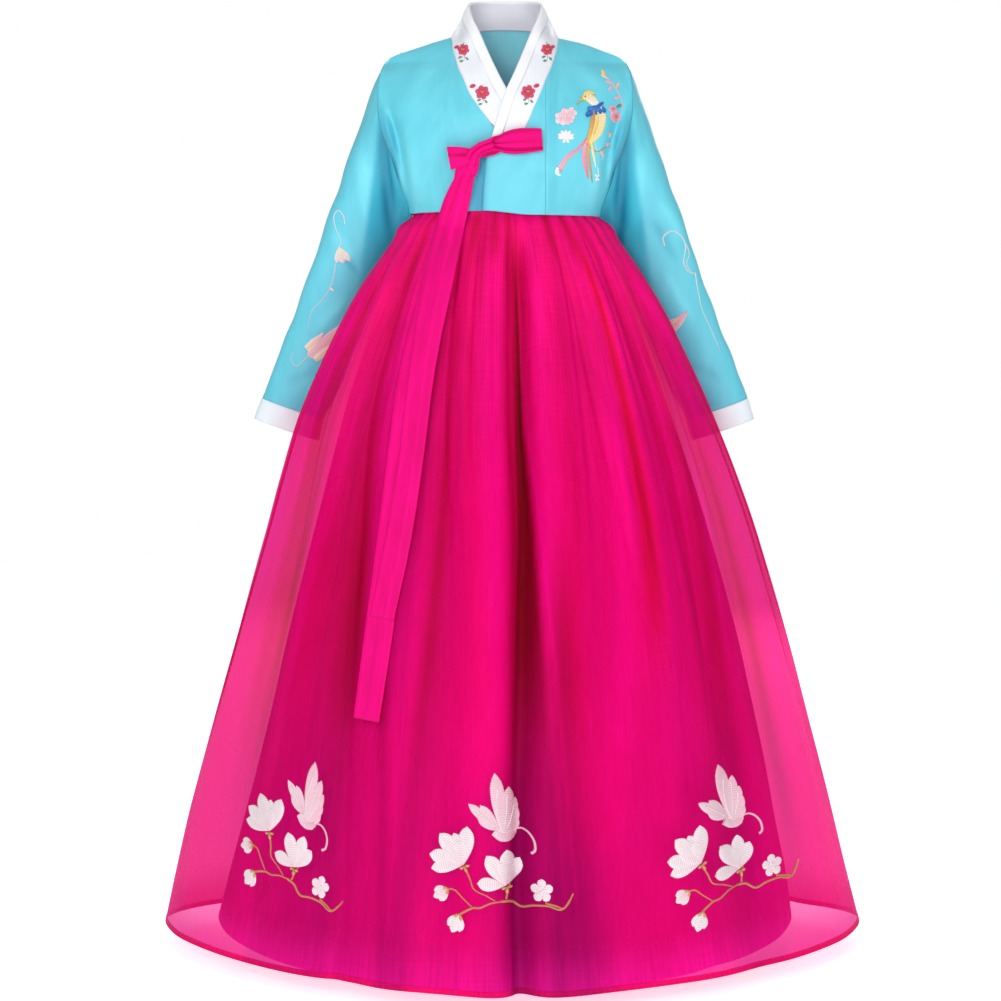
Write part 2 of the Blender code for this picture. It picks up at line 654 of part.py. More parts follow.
def pulled_off(grid, edge, inside, directions=None, closed=False):
    """The grid with its edge row moved a seam's gap towards the row inside it, square to the edge
    and, where the wall's directions are given, to them."""
    made = [[p.copy() for p in row] for row in grid]
    row = grid[edge]
    for i, p in enumerate(row):
        before = row[i - 1] if closed or i else row[0]
        after = row[(i + 1) % len(row)] if closed or i + 1 < len(row) else row[-1]
        inward = grid[inside][i] - p
        along = (after - before).normalized()
        if directions:
            face = along.cross(directions[i])
            step = face.normalized() * math.copysign(1, face.dot(inward))
        else:
            step = (inward - along * inward.dot(along)).normalized()
        made[edge][i] = p + step * SEAM
    return made


def shared_edge(first, second):
    """Directions for two walls sewn along an edge: the same where they run on into each other,
    and each its own where they fold back on each other."""
    made_first, made_second = [], []
    for a, b in zip(first, second):
        share = ease((a.dot(b) + 0.1) / 0.6)
        middle = (a + b).normalized() if share > 0 else a
        made_first.append(a.lerp(middle, share).normalized())
        made_second.append(b.lerp(middle, share).normalized())
    return made_first, made_second


def build_sleeve(side_name, sign, front, front_out, back, back_out):
    """A sleeve and its cuff. The armhole's edges of the front and back turn to face the sleeve."""
    back_column = -1 if sign > 0 else 0
    grid = sleeve_grid(armhole_loop(front, back, sign), sign)
    directions = normals(grid, closed=True)
    if directions[len(grid) // 2][0].x * sign < 0:
        directions = [[-d for d in row] for row in directions]
    panel_edge = [row[-1] for row in front_out[:-1]]
    panel_edge += [row[back_column] for row in reversed(back_out[1:-2])]
    panel_edge, directions[0] = shared_edge(panel_edge, directions[0])
    underarm = len(front_out) - 2
    for j in range(underarm + 1):
        front_out[j][-1] = panel_edge[j]
        back_out[j][back_column] = panel_edge[j if j == underarm else -j]
    cuff_at = len(grid) - 2
    sleeve = pulled_off(grid[:cuff_at + 1], 0, 1, directions[0], closed=True)
    cuff = pulled_off(grid[cuff_at:], 0, 1, closed=True)
    sleeve_inside = moved(sleeve, directions[:cuff_at + 1], -WALL)
    cuff_inside = moved(cuff, directions[cuff_at:], -WALL)
    wall(f"sleeve_{side_name}", sleeve, sleeve_inside, TURQUOISE, closed=True)
    wall(f"cuff_{side_name}", cuff, cuff_inside, LAVENDER_WHITE, closed=True)


def build_jacket():
    half_seam = SEAM / 2
    left = panel(-1, left_front_columns(), left_front_hem, half_seam, lift=1.0)
    right = panel(-1, right_front_columns(), right_front_hem, half_seam)
    gusset = panel(-1, gusset_columns(), left_front_hem, lift=1.0)
    back = panel(1, back_columns(), jacket_hem, half_seam)
    for left_row, gusset_row in zip(left, gusset):
        left_row[0].x += half_seam
        gusset_row[-1].x -= half_seam
    left_out = jacket_outward(-1, left)
    right_out = jacket_outward(-1, right)
    gusset_out = outward(normals(gusset), -1)
    back_out = jacket_outward(1, back)
    for left_row, gusset_row in zip(left_out, gusset_out):
        shared = (left_row[0] + gusset_row[-1]).normalized()
        left_row[0] = gusset_row[-1] = shared

    build_sleeve("left", 1, left, left_out, back, back_out)
    build_sleeve("right", -1, right, right_out, back, back_out)
    for name, grid, directions in (
            ("jeogori_front_left", left, left_out),
            ("jeogori_front_right", right, right_out),
            ("seop_left", gusset, gusset_out),
            ("jeogori_back", back, back_out)):
        wall(name, grid, moved(grid, directions, -WALL), TURQUOISE)


# ---- Collar ----------------------------------------------------------------------------

def collar_grid():
    """Rows across the collar, from the right front's hidden end round the neck to the left front's
    end. Each row runs from the inner edge to the outer edge, which stops short of the jacket."""
    mirrored = [Station(-s.inner_x, s.depth, s.inner_z, -s.outer_x, s.outer_z) for s in COLLAR_BACK[1:]]
    rows = [(s, -1) for s in reversed(COLLAR_RIGHT)]
    rows += [(s, 1) for s in reversed(mirrored)] + [(s, 1) for s in COLLAR_BACK]
    rows += [(s, -1) for s in COLLAR_LEFT]
    left_from = len(rows) - len(COLLAR_LEFT)
    grid = []
    for index, (s, side) in enumerate(rows):
        lift = overlap_lift(s.outer_x) if index >= left_from else 0.0
        inner_y = jacket_y(-1, s.inner_x, s.inner_z) if s.depth is None else s.depth
        inner = Vector((s.inner_x, inner_y - lift, s.inner_z))
        outer = Vector((s.outer_x, jacket_y(side, s.outer_x, s.outer_z) - lift, s.outer_z))
        outer += (inner - outer).normalized() * SEAM
        row = []
        for share in COLLAR_ACROSS:
            point = inner.lerp(outer, share)
            if side < 0:
                chord = mix(jacket_y(-1, inner.x, inner.z), jacket_y(-1, outer.x, outer.z), share)
                point.y += jacket_y(-1, point.x, point.z) - chord
            row.append(point)
        grid.append(row)
    grid = pulled_off(grid, 0, 1)
    return pulled_off(grid, -1, -2)


def build_collar():
    grid = collar_grid()
    directions = normals(grid)
    middle = len(grid) // 2
    if directions[middle][0].y < 0:
        directions = [[-d for d in row] for row in directions]
    for row, out_row in zip(grid, directions):
        if row[-1].y < 0 and abs(row[-1].x) < NECK_HALF_WIDTH - SEAM:
            out_row[-1] = jacket_out(-1, row[-1].x, row[-1].z)
    wall("collar_band", grid, moved(grid, directions, -WALL), WHITE)
    strip = [row[:2] for row in grid]
    strip_out = [row[:2] for row in directions]
    near = moved(strip, strip_out, SEAM + STRIP_WALL)
    wall("collar_strip", near, moved(strip, strip_out, SEAM), WHITE)


# ---- Skirt -----------------------------------------------------------------------------

def plan_point(sections, angle, z):
    """A point of a skirt's plain section and the direction out of it. The angle is in radians from
    the front centre towards the wearer's left."""
    half_width = sections.half_width(z)
    square = sections.square(z)
    across, forward = math.sin(angle), math.cos(angle)
    reach = sections.front(z) if forward > 0 else sections.back(z)
    u = math.copysign(abs(across) ** (2 / square), across)
    v = math.copysign(abs(forward) ** (2 / square), forward)
    point = Vector((sections.lean(z) + half_width * u, -reach * v, z))
    out = Vector((
        math.copysign(abs(u) ** (square - 1), u) / half_width,
        -math.copysign(abs(v) ** (square - 1), v) / reach,
        0.0,
    ))
    return point, out.normalized()


def folds(angle, z):
    """Height of the broad folds, outward, at an angle in radians."""
    degrees = math.degrees(angle)
    height = 0.0
    for fold in FOLDS:
        way = ease((fold.start - z) / (fold.start - SHELL_RINGS[-1]))
        centre = mix(fold.waist_angle, fold.hem_angle, way)
        off = (degrees - centre + 180) % 360 - 180
        if abs(off) > 3 * fold.width:
            continue
        grown = ease((fold.start - z) / FOLD_RISE) * ease((z - fold.end + FOLD_FALL) / FOLD_FALL)
        height += fold.depth * grown * math.exp(-(off / fold.width) ** 2)
    return height


def gathers(angle, z):
    """Height of the small gathers below the band, outward. They are uneven round the waist."""
    turn = GATHERS * angle + GATHER_STRAY * (math.sin(3 * angle + 0.7) + math.sin(7 * angle))
    size = 1 + GATHER_UNEVEN * (math.sin(5 * angle + 1.3) - 1)
    grown = ease((SHELL_RINGS[0] - z) / GATHER_RISE)
    fade = grown * (1 - ease((SHELL_RINGS[2] - z) / GATHER_FADE))
    return GATHER_HEIGHT * size * fade * (0.5 + 0.5 * math.cos(turn))


def hem_drop(angle):
    """How far the hem hangs below its height at the sides."""
    forward = math.cos(angle)
    most = HEM_DROP_FRONT if forward > 0 else HEM_DROP_BACK
    return most * abs(forward) ** HEM_DROP_POINT


def hung(point, angle, rings):
    """The point lowered by its share of the hem's drop."""
    share = (rings[0] - point.z) / (rings[0] - rings[-1])
    return point - Vector((0, 0, hem_drop(angle) * share ** HEM_DROP_ONSET))


def shell_point(angle, z):
    """A point on the sheer skirt's outer face, and the direction out of its plain section."""
    point, out = plan_point(shell, angle, z)
    return hung(point + out * (folds(angle, z) + gathers(angle, z)), angle, SHELL_RINGS), out


def lining_point(angle, z):
    """A point on the lining's outer face, and the direction out of its plain section."""
    point, out = plan_point(lining, angle, z)
    return hung(point + out * folds(angle, z) * LINING_FOLD_SHARE, angle, LINING_RINGS), out


def band_point(angle, z):
    """A point on the chest band's outer face, and the direction out of it."""
    return plan_point(shell, angle, z)


def skirt_wall(name, point_at, rings, count, thickness, colour):
    """A tube of cloth through its rings, whose wall is as thick all round."""
    outer, inner = [], []
    for z in rings:
        found = [point_at(2 * math.pi * i / count, z) for i in range(count)]
        outer.append([p for p, _ in found])
        inner.append([p - out * thickness for p, out in found])
    wall(name, outer, inner, colour, closed=True)


def build_skirt():
    band_rings = (SHELL_RINGS[0] + SEAM, mix(SHELL_RINGS[0], BAND_TOP, 0.5), BAND_TOP)
    skirt_wall("chima_shell", shell_point, SHELL_RINGS, SHELL_COLUMNS, SHEER_WALL, MAGENTA_SHEER)
    skirt_wall("chima_lining", lining_point, LINING_RINGS, LINING_COLUMNS, SHEER_WALL, MAGENTA)
    skirt_wall("chima_band", band_point, band_rings, BAND_COLUMNS, BAND_WALL, MAGENTA)


# ---- Tie -------------------------------------------------------------------------------

def skirt_front_y(x, z):
    """Depth of the sheer skirt's front, over its highest folds, at a place seen from the front."""
    across = min(abs(x - shell.lean(z)) / shell.half_width(z), 0.99)
    plain = shell.front(z) * (1 - across ** shell.square(z)) ** (1 / shell.square(z))
    return -plain - FOLD_ENVELOPE * ease((SHELL_RINGS[2] - z) / FOLD_RISE)


def drape_y(x, z):
    """Depth of what lies foremost at a place: the jacket's overlap, and the skirt below it."""
    jacket = jacket_y(-1, x, max(z, HEM_RIGHT)) - OVERLAP_LIFT
    skirt = skirt_front_y(x, min(z, SHELL_RINGS[2]))
    return min(mix(jacket, skirt, ease((HEM_RIGHT - 0.01 - z) / 0.10)), skirt)


def knot_plump(way):
    """The knot's thickness along its length, as a share of its middle's."""
    return mix(KNOT_TAPER, 1.0, math.sin(math.pi * min(max(way, 0.0), 1.0)))


def knot_under_z(x):
    """Height just below the knot's lower side."""
    way = (x - KNOT_FROM[0]) / (KNOT_TO[0] - KNOT_FROM[0])
    under = KNOT_HALF_HEIGHT * knot_plump(way) * KNOT_UNDER + 2 * SEAM
    return mix(KNOT_FROM[1], KNOT_TO[1], way) - under


def knot_seat_y():
    """Depth of the knot's back, against the jacket's overlap."""
    return jacket_y(-1, KNOT_TO[0], KNOT_TO[1]) - OVERLAP_LIFT - 2 * SEAM


def tail_grid(rows, layer, spans):
    """Points down a tail, from under the knot. Its end is slanted."""
    tail = curves(rows)
    top, end = rows[0].z, rows[-1].z
    knot_y = knot_seat_y() - KNOT_HALF_DEPTH
    grid = []
    count = int((top - end) / TAIL_ROW)
    for z in [top - TAIL_ROW * k for k in range(count)] + [end]:
        row = []
        for span in range(spans + 1):
            x = mix(tail.left(z), tail.right(z), span / spans)
            settled = ease((top - z) / TAIL_SETTLES)
            tilt = (knot_under_z(x) - top) * (1 - settled)
            slant = TAIL_END_SLANT * (span / spans) * ease((top - z) / (top - end)) ** TAIL_SLANT_ONSET
            place_z = z + tilt - slant
            y = mix(knot_y + WALL + SEAM, drape_y(x, place_z) - TAIL_CLEARANCE, settled)
            row.append(Vector((x, y - layer * mix(WALL + 2 * SEAM, TAIL_LAYER, settled), place_z)))
        grid.append(row)
    return grid


def build_tail(name, rows, layer):
    grid = tail_grid(rows, layer, 3)
    out = Vector((0, -1, 0))
    wall(name, [[p + out * WALL for p in row] for row in grid], grid, MAGENTA)


def knot_line():
    """The knot's two ends and the direction square to it, in the plane of the front."""
    start, end = Vector((KNOT_FROM[0], 0, KNOT_FROM[1])), Vector((KNOT_TO[0], 0, KNOT_TO[1]))
    along = (end - start).normalized()
    return start, end, along, Vector((-along.z, 0, along.x))


def build_knot():
    """A plump wrap of the ribbon with a rounded section, along its centre line."""
    start, end, _, up = knot_line()
    seat = knot_seat_y()
    rings, sides = 7, 15
    outer, inner = [], []
    for k in range(rings):
        t = k / (rings - 1)
        plump = knot_plump(t)
        centre = start.lerp(end, t)
        row_outer, row_inner = [], []
        for i in range(sides):
            turn = 2 * math.pi * i / sides
            ridge = 1 + KNOT_RIDGE_HEIGHT * math.cos(KNOT_RIDGES * turn + 1)
            rise = KNOT_HALF_HEIGHT * plump * ridge * math.cos(turn)
            forward = KNOT_HALF_DEPTH * plump * ridge * math.sin(turn)
            shell_y = seat - KNOT_HALF_DEPTH - forward
            row_outer.append(centre + up * rise + Vector((0, shell_y, 0)))
            core_y = seat - KNOT_HALF_DEPTH - forward * KNOT_CORE
            row_inner.append(centre + up * rise * KNOT_CORE + Vector((0, core_y, 0)))
        outer.append(row_outer)
        inner.append(row_inner)
    wall("tie_knot", outer, inner, MAGENTA, closed=True)


def build_loop():
    """One loop of the bow: the ribbon runs out behind, turns and comes back in front."""
    start_x = KNOT_TO[0] + SEAM
    lean = (KNOT_TO[1] - KNOT_FROM[1]) / (KNOT_TO[0] - KNOT_FROM[0])
    seat = jacket_y(-1, 0.0, LOOP_LEFT[1]) - OVERLAP_LIFT - STRIP_WALL - 3 * SEAM
    turn_radius = LOOP_LAYER_GAP / 2 + WALL
    steps, bend_steps, spans = 6, 6, 4
    path = []
    for i in range(steps + 1):
        path.append((mix(start_x, LOOP_END_X - turn_radius, i / steps), 0.0))
    for i in range(1, bend_steps):
        turn = math.pi * i / bend_steps
        bend_x = LOOP_END_X - turn_radius * (1 - math.sin(turn))
        path.append((bend_x, turn_radius * (1 - math.cos(turn))))
    for i in range(steps + 1):
        path.append((mix(LOOP_END_X - turn_radius, start_x, i / steps), 2 * turn_radius))
    points = [Vector((x, seat - out, 0)) for x, out in path]
    outer, inner = [], []
    for k, p in enumerate(points):
        before, after = points[max(k - 1, 0)], points[min(k + 1, len(points) - 1)]
        along = (after - before).normalized()
        out = Vector((along.y, -along.x, 0))
        way = (p.x - start_x) / (LOOP_END_X - start_x)
        top, low = mix(LOOP_LEFT[0], LOOP_RIGHT[0], way), mix(LOOP_LEFT[1], LOOP_RIGHT[1], way)
        row_outer, row_inner = [], []
        for i in range(spans + 1):
            z = mix(top, low, i / spans)
            base = Vector((p.x - lean * (z - KNOT_TO[1]) * (1 - way), p.y, z))
            row_outer.append(base)
            row_inner.append(base + out * WALL)
        outer.append(row_outer)
        inner.append(row_inner)
    wall("tie_loop", outer, inner, MAGENTA)


def build_ear():
    """The short end left of the knot, which hangs a little in front of the tails."""
    start, _, along, up = knot_line()
    root = start - along * SEAM
    reach = KNOT_HALF_HEIGHT * knot_plump(0) * EAR_ROOT_SHARE
    root_top, root_low = root + up * reach, root - up * reach
    tip_top, tip_low = Vector(EAR_TIP_TOP), Vector(EAR_TIP_LOW)
    root_y = knot_seat_y() - KNOT_HALF_DEPTH
    steps, spans = 6, 3
    outer, inner = [], []
    for k in range(steps + 1):
        t = k / steps
        top, low = root_top.lerp(tip_top, t), root_low.lerp(tip_low, t)
        row_outer, row_inner = [], []
        for i in range(spans + 1):
            p = top.lerp(low, i / spans)
            along_bulge = math.sin(math.pi * t ** EAR_ROUNDNESS)
            cross_bulge = EAR_CROSS_BULGE * math.sin(math.pi * i / spans) * t
            p.y = root_y - EAR_BULGE * (along_bulge + cross_bulge)
            row_inner.append(p)
            row_outer.append(p - Vector((0, WALL, 0)))
        outer.append(row_outer)
        inner.append(row_inner)
    wall("tie_ear", outer, inner, MAGENTA)


def build_tie():
    build_knot()
    build_loop()
    build_ear()
    build_tail("tie_tail_long", TAIL_LONG, 0)
    build_tail("tie_tail_short", TAIL_SHORT, 1)


def clear_scene():
    for old in list(bpy.data.objects):
        bpy.data.objects.remove(old)


clear_scene()
build_jacket()
build_collar()
build_skirt()
build_tie()
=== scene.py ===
"""The looks of the korean hanbok: satin jacket, ribbon bow, organza skirt over its lining, and the
embroidery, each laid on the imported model's solids. Metres, +Z up, the front faces -Y."""

import json
import math
from collections import namedtuple
from functools import lru_cache
from types import SimpleNamespace

import bpy
import numpy as np
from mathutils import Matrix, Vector
from mathutils.bvhtree import BVHTree

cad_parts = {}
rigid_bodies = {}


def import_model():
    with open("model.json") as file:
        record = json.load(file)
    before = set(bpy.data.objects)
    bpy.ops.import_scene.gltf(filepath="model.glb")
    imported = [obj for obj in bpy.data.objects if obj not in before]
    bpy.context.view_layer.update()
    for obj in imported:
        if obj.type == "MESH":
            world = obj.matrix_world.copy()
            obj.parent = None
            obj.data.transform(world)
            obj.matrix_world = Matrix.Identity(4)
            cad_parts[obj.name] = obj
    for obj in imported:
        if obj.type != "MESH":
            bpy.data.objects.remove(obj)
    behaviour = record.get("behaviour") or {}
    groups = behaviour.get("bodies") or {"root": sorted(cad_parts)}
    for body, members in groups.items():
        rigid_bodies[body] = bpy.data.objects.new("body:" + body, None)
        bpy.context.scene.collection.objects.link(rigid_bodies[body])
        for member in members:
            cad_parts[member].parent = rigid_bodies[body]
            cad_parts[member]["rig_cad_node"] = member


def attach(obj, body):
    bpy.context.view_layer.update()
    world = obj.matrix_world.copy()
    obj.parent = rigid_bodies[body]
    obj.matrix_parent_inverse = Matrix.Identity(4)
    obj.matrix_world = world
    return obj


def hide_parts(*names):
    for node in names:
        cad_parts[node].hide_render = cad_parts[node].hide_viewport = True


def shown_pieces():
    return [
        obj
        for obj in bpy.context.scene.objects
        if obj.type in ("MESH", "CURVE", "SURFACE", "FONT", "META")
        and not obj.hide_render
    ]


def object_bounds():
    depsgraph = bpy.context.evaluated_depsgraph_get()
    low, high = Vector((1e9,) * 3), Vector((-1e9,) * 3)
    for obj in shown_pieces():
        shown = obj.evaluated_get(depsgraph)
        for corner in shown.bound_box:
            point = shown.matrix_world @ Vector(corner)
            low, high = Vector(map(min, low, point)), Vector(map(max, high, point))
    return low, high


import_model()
CAD_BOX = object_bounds()

# ---- Cloth and seams -------------------------------------------------------------------

WALL = 0.0015  # satin with its interlining
BAND_WALL = 0.003  # chest band, two layers
STRIP_WALL = 0.001  # collar strip
SEAM = 0.0003  # gap between pieces that are sewn together
OVERLAP_LIFT = 0.0042  # the left front lies this far out from the right front
TINY = 1e-6
FRONT = np.array([0, -1, 0])


def table_of(kind, *rows):
    """A table: for each row of numbers, one row with named columns."""
    return tuple(kind(*row) for row in rows)


# ---- Jacket body -----------------------------------------------------------------------

DOME = 0.15  # height over which the front and back round over into the shoulder
DOME_ROUNDNESS = 1.4
PANEL_ROUNDNESS = 2.3
NECK_HALF_WIDTH = 0.0775
NECK_BACK = 0.07

Shoulder = namedtuple("Shoulder", "x z")
SHOULDER_LINE = table_of(
    Shoulder,
    (0, 0.0238),
    (0.0775, 0.0035),
    (0.1118, -0.0055),
    (0.1468, -0.0179),
    (0.1663, -0.0252),
    (0.1775, -0.0345),
)

# The neckline of the back, on which the collar stands.
BACK_NECK = table_of(
    Shoulder,
    (0, 0.022),
    (0.034, 0.02),
    (0.06, 0.0135),
    (0.0775, 0.0035),
)

# The armhole seam and, below it, the side seam: how far out, how far forward and back,
# and where the panel turns into the body's side beside it, in a valley.
Armhole = namedtuple("Armhole", "z x y valley_x valley corner")
ARMHOLE = table_of(
    Armhole,
    (-0.0345, 0.1775, 0, 0.175, 0, 1.2),
    (-0.05, 0.182, 0.022, 0.175, 0, 1.2),
    (-0.077, 0.1853, 0.04, 0.172, 0, 1.2),
    (-0.1, 0.1855, 0.047, 0.168, 0.004, 1.3),
    (-0.13, 0.181, 0.049, 0.159, 0.015, 1.5),
    (-0.15, 0.1755, 0.046, 0.154, 0.018, 1.7),
    (-0.18, 0.165, 0.037, 0.148, 0.016, 1.9),
    (-0.215, 0.1535, 0.02, 0.144, 0.007, 2.1),
    (-0.245, 0.142, 0, 0.14, 0, 2.2),
    (-0.265, 0.139, 0, 0.139, 0, 2.2),
)
VALLEY_WIDTH = 0.008
UNDERARM_Z = -0.245

Depth = namedtuple("Depth", "z front back")
BODY_DEPTH = table_of(
    Depth,
    (0.03, 0.1, 0.085),
    (-0.05, 0.1035, 0.092),
    (-0.12, 0.1095, 0.0985),
    (-0.2, 0.1095, 0.0985),
    (-0.265, 0.1095, 0.099),
)

HEM_RIGHT = -0.2545  # jacket hem at the wearer's right side seam
HEM_LEFT = -0.259
HEM_OVERLAP = -0.253  # at the front edge of the left front
OVERLAP_TOP_X = -0.026
OVERLAP_HEM_X = -0.0334
OVERLAP_TOP_DROP = 0.0015  # from the collar's end to the overlap's free corner
UNDER_EDGE_X = 0.035  # the right front ends here, under the left one

HEM_CROWDING = 0.85  # below 1, hem columns crowd less where a panel turns round the side

# ---- Collar ----------------------------------------------------------------------------

# Stations along the collar. The inner edge stands free and has its own depth, the outer
# edge lies on the jacket. Where depth is None, the inner edge lies on the chest too.
Station = namedtuple("Station", "inner_x depth inner_z outer_x outer_z")
COLLAR_BACK = table_of(
    Station,
    (0, 0.048, 0.061, 0, 0.022),
    (0.024, 0.043, 0.0605, 0.034, 0.02),
    (0.041, 0.027, 0.058, 0.06, 0.0135),
    (0.052, 0.003, 0.052, 0.0775, 0.0035),
)
COLLAR_LEFT = table_of(
    Station,
    (0.05, -0.022, 0.035, 0.0765, -0.01),
    (0.04, -0.042, 0.012, 0.0735, -0.024),
    (0.029, -0.06, -0.015, 0.067, -0.045),
    (0.018, -0.08, -0.043, 0.058, -0.0665),
    (0.01, None, -0.062, 0.0505, -0.086),
    (0.0019, None, -0.0795, 0.044, -0.1005),
    (-0.0035, None, -0.096, 0.039, -0.1115),
    (-0.0085, None, -0.113, 0.035, -0.122),
    (-0.0137, None, -0.13, 0.032, -0.1282),
    (-0.0198, None, -0.15, 0.0288, -0.1375),
)
COLLAR_RIGHT = table_of(
    Station,
    (-0.0505, -0.022, 0.035, -0.077, -0.01),
    (-0.0395, -0.042, 0.012, -0.0748, -0.024),
    (-0.028, -0.06, -0.015, -0.0685, -0.045),
    (-0.016, -0.08, -0.043, -0.06, -0.064),
    (-0.007, None, -0.062, -0.0515, -0.085),
    (0.0019, None, -0.0795, -0.042, -0.0995),
    (0.007, None, -0.091, -0.0355, -0.109),
    (0.0125, None, -0.103, -0.0285, -0.118),
    (0.019, None, -0.1165, -0.0225, -0.126),
    (0.025, None, -0.13, -0.0165, -0.1335),
)
GUSSET_STATION = 3  # the seop's seam meets the collar here
STRIP_SHARE = 0.34  # of the collar's width, from its inner edge

# ---- Sleeves ---------------------------------------------------------------------------

# Rings of the left sleeve: its outer edge, its inner edge, half its thickness, and how much
# the ring still follows the armhole's seam.
SleeveRing = namedtuple(
    "SleeveRing", "outer_x outer_y outer_z inner_x inner_y inner_z half_depth seam")
SLEEVE_RINGS = table_of(
    SleeveRing,
    (0.1775, 0, -0.0345, 0.142, 0, -0.245, 0.049, 1),
    (0.1905, 0.003, -0.062, 0.1393, 0.018, -0.26, 0.05, 0.95),
    (0.206, 0.008, -0.101, 0.146, 0.052, -0.285, 0.05, 0.7),
    (0.223, 0.016, -0.148, 0.165, 0.071, -0.315, 0.048, 0.35),
    (0.243, 0.029, -0.203, 0.1835, 0.087, -0.351, 0.046, 0.1),
    (0.265, 0.047, -0.262, 0.2025, 0.101, -0.393, 0.044, 0),
    (0.289, 0.068, -0.326, 0.222, 0.111, -0.44, 0.042, 0),
    (0.315, 0.087, -0.392, 0.242, 0.121, -0.487, 0.04, 0),
    (0.342, 0.102, -0.459, 0.261, 0.129, -0.529, 0.038, 0),
    (0.369, 0.113, -0.527, 0.277, 0.135, -0.56, 0.036, 0),
    (0.3805, 0.117, -0.558, 0.286, 0.138, -0.592, 0.036, 0),
)

# ---- Skirt -----------------------------------------------------------------------------

# Sections of the sheer skirt and its lining: half the width, how far they reach forward
# and back, how square they are (2 is an ellipse) and how far they lean to the left.
Section = namedtuple("Section", "z half_width front back square lean")
SHELL_SECTIONS = table_of(
    Section,
    (-0.2003, 0.1305, 0.1073, 0.0965, 2.3, 0),
    (-0.215, 0.1315, 0.104, 0.0935, 2.3, 0),
    (-0.2595, 0.133, 0.104, 0.0935, 2.25, 0),
    (-0.2645, 0.1415, 0.1075, 0.0965, 2.22, 0.0003),
    (-0.275, 0.152, 0.1125, 0.1, 2.18, 0.0005),
    (-0.2913, 0.164, 0.1188, 0.105, 2.15, 0.001),
    (-0.325, 0.189, 0.1344, 0.1174, 2.1, 0.001),
    (-0.3704, 0.217, 0.153, 0.1324, 2.05, 0.001),
    (-0.4381, 0.253, 0.178, 0.153, 1.98, 0.001),
    (-0.5502, 0.3045, 0.2165, 0.184, 1.9, 0.002),
    (-0.639, 0.3365, 0.243, 0.206, 1.85, 0.006),
    (-0.7312, 0.366, 0.2694, 0.2274, 1.8, 0.009),
    (-0.8819, 0.4115, 0.311, 0.2614, 1.74, 0.009),
    (-1.0034, 0.445, 0.3437, 0.288, 1.7, 0.008),
    (-1.1345, 0.4795, 0.378, 0.316, 1.66, 0.008),
    (-1.2147, 0.498, 0.3976, 0.3317, 1.65, 0.009),
    (-1.303, 0.519, 0.42, 0.35, 1.65, 0.011),
)
LINING_SECTIONS = table_of(
    Section,
    (-0.2003, 0.1289, 0.1057, 0.0949, 2.3, 0),
    (-0.215, 0.1295, 0.102, 0.0915, 2.3, 0),
    (-0.262, 0.1305, 0.1016, 0.0911, 2.25, 0),
    (-0.3, 0.145, 0.1165, 0.1025, 2.2, 0.001),
    (-0.4, 0.186, 0.154, 0.133, 2.1, 0.001),
    (-0.5, 0.223, 0.188, 0.161, 2, 0.002),
    (-0.6049, 0.257, 0.219, 0.187, 1.95, 0.006),
    (-0.6969, 0.2845, 0.243, 0.207, 1.9, 0.009),
    (-0.7982, 0.3137, 0.271, 0.229, 1.86, 0.01),
    (-0.8849, 0.337, 0.294, 0.248, 1.83, 0.01),
    (-0.9734, 0.357, 0.317, 0.266, 1.8, 0.01),
    (-1.0636, 0.378, 0.34, 0.284, 1.78, 0.009),
    (-1.1542, 0.398, 0.363, 0.303, 1.76, 0.006),
    (-1.2344, 0.4165, 0.384, 0.318, 1.75, 0.004),
    (-1.295, 0.4285, 0.4, 0.329, 1.75, 0),
)
SHELL_RINGS = (
    -0.2003, -0.215, -0.2595, -0.2645, -0.278, -0.312, -0.38, -0.49, -0.639,
    -0.82, -1.0034, -1.15, -1.303)
LINING_RINGS = (-0.2003, -0.215, -0.262, -0.34, -0.46, -0.64, -0.85, -1.08, -1.295)
HEM_DROP_FRONT = 0.008  # how far the hem hangs lower there than at the sides
HEM_DROP_BACK = 0.02
HEM_DROP_POINT = 1.3  # above 1, the drop gathers towards the middle
HEM_DROP_ONSET = 3  # power of the way down: the higher, the nearer the hem it starts to drop

GATHERS = 36
GATHER_HEIGHT = 0.0024
GATHER_RISE = 0.03
GATHER_STRAY = 0.8  # how far they stray from even steps, in radians
GATHER_UNEVEN = 0.25  # half of how much lower the lowest are
GATHER_FADE = 0.22  # they have run out this far below the jacket

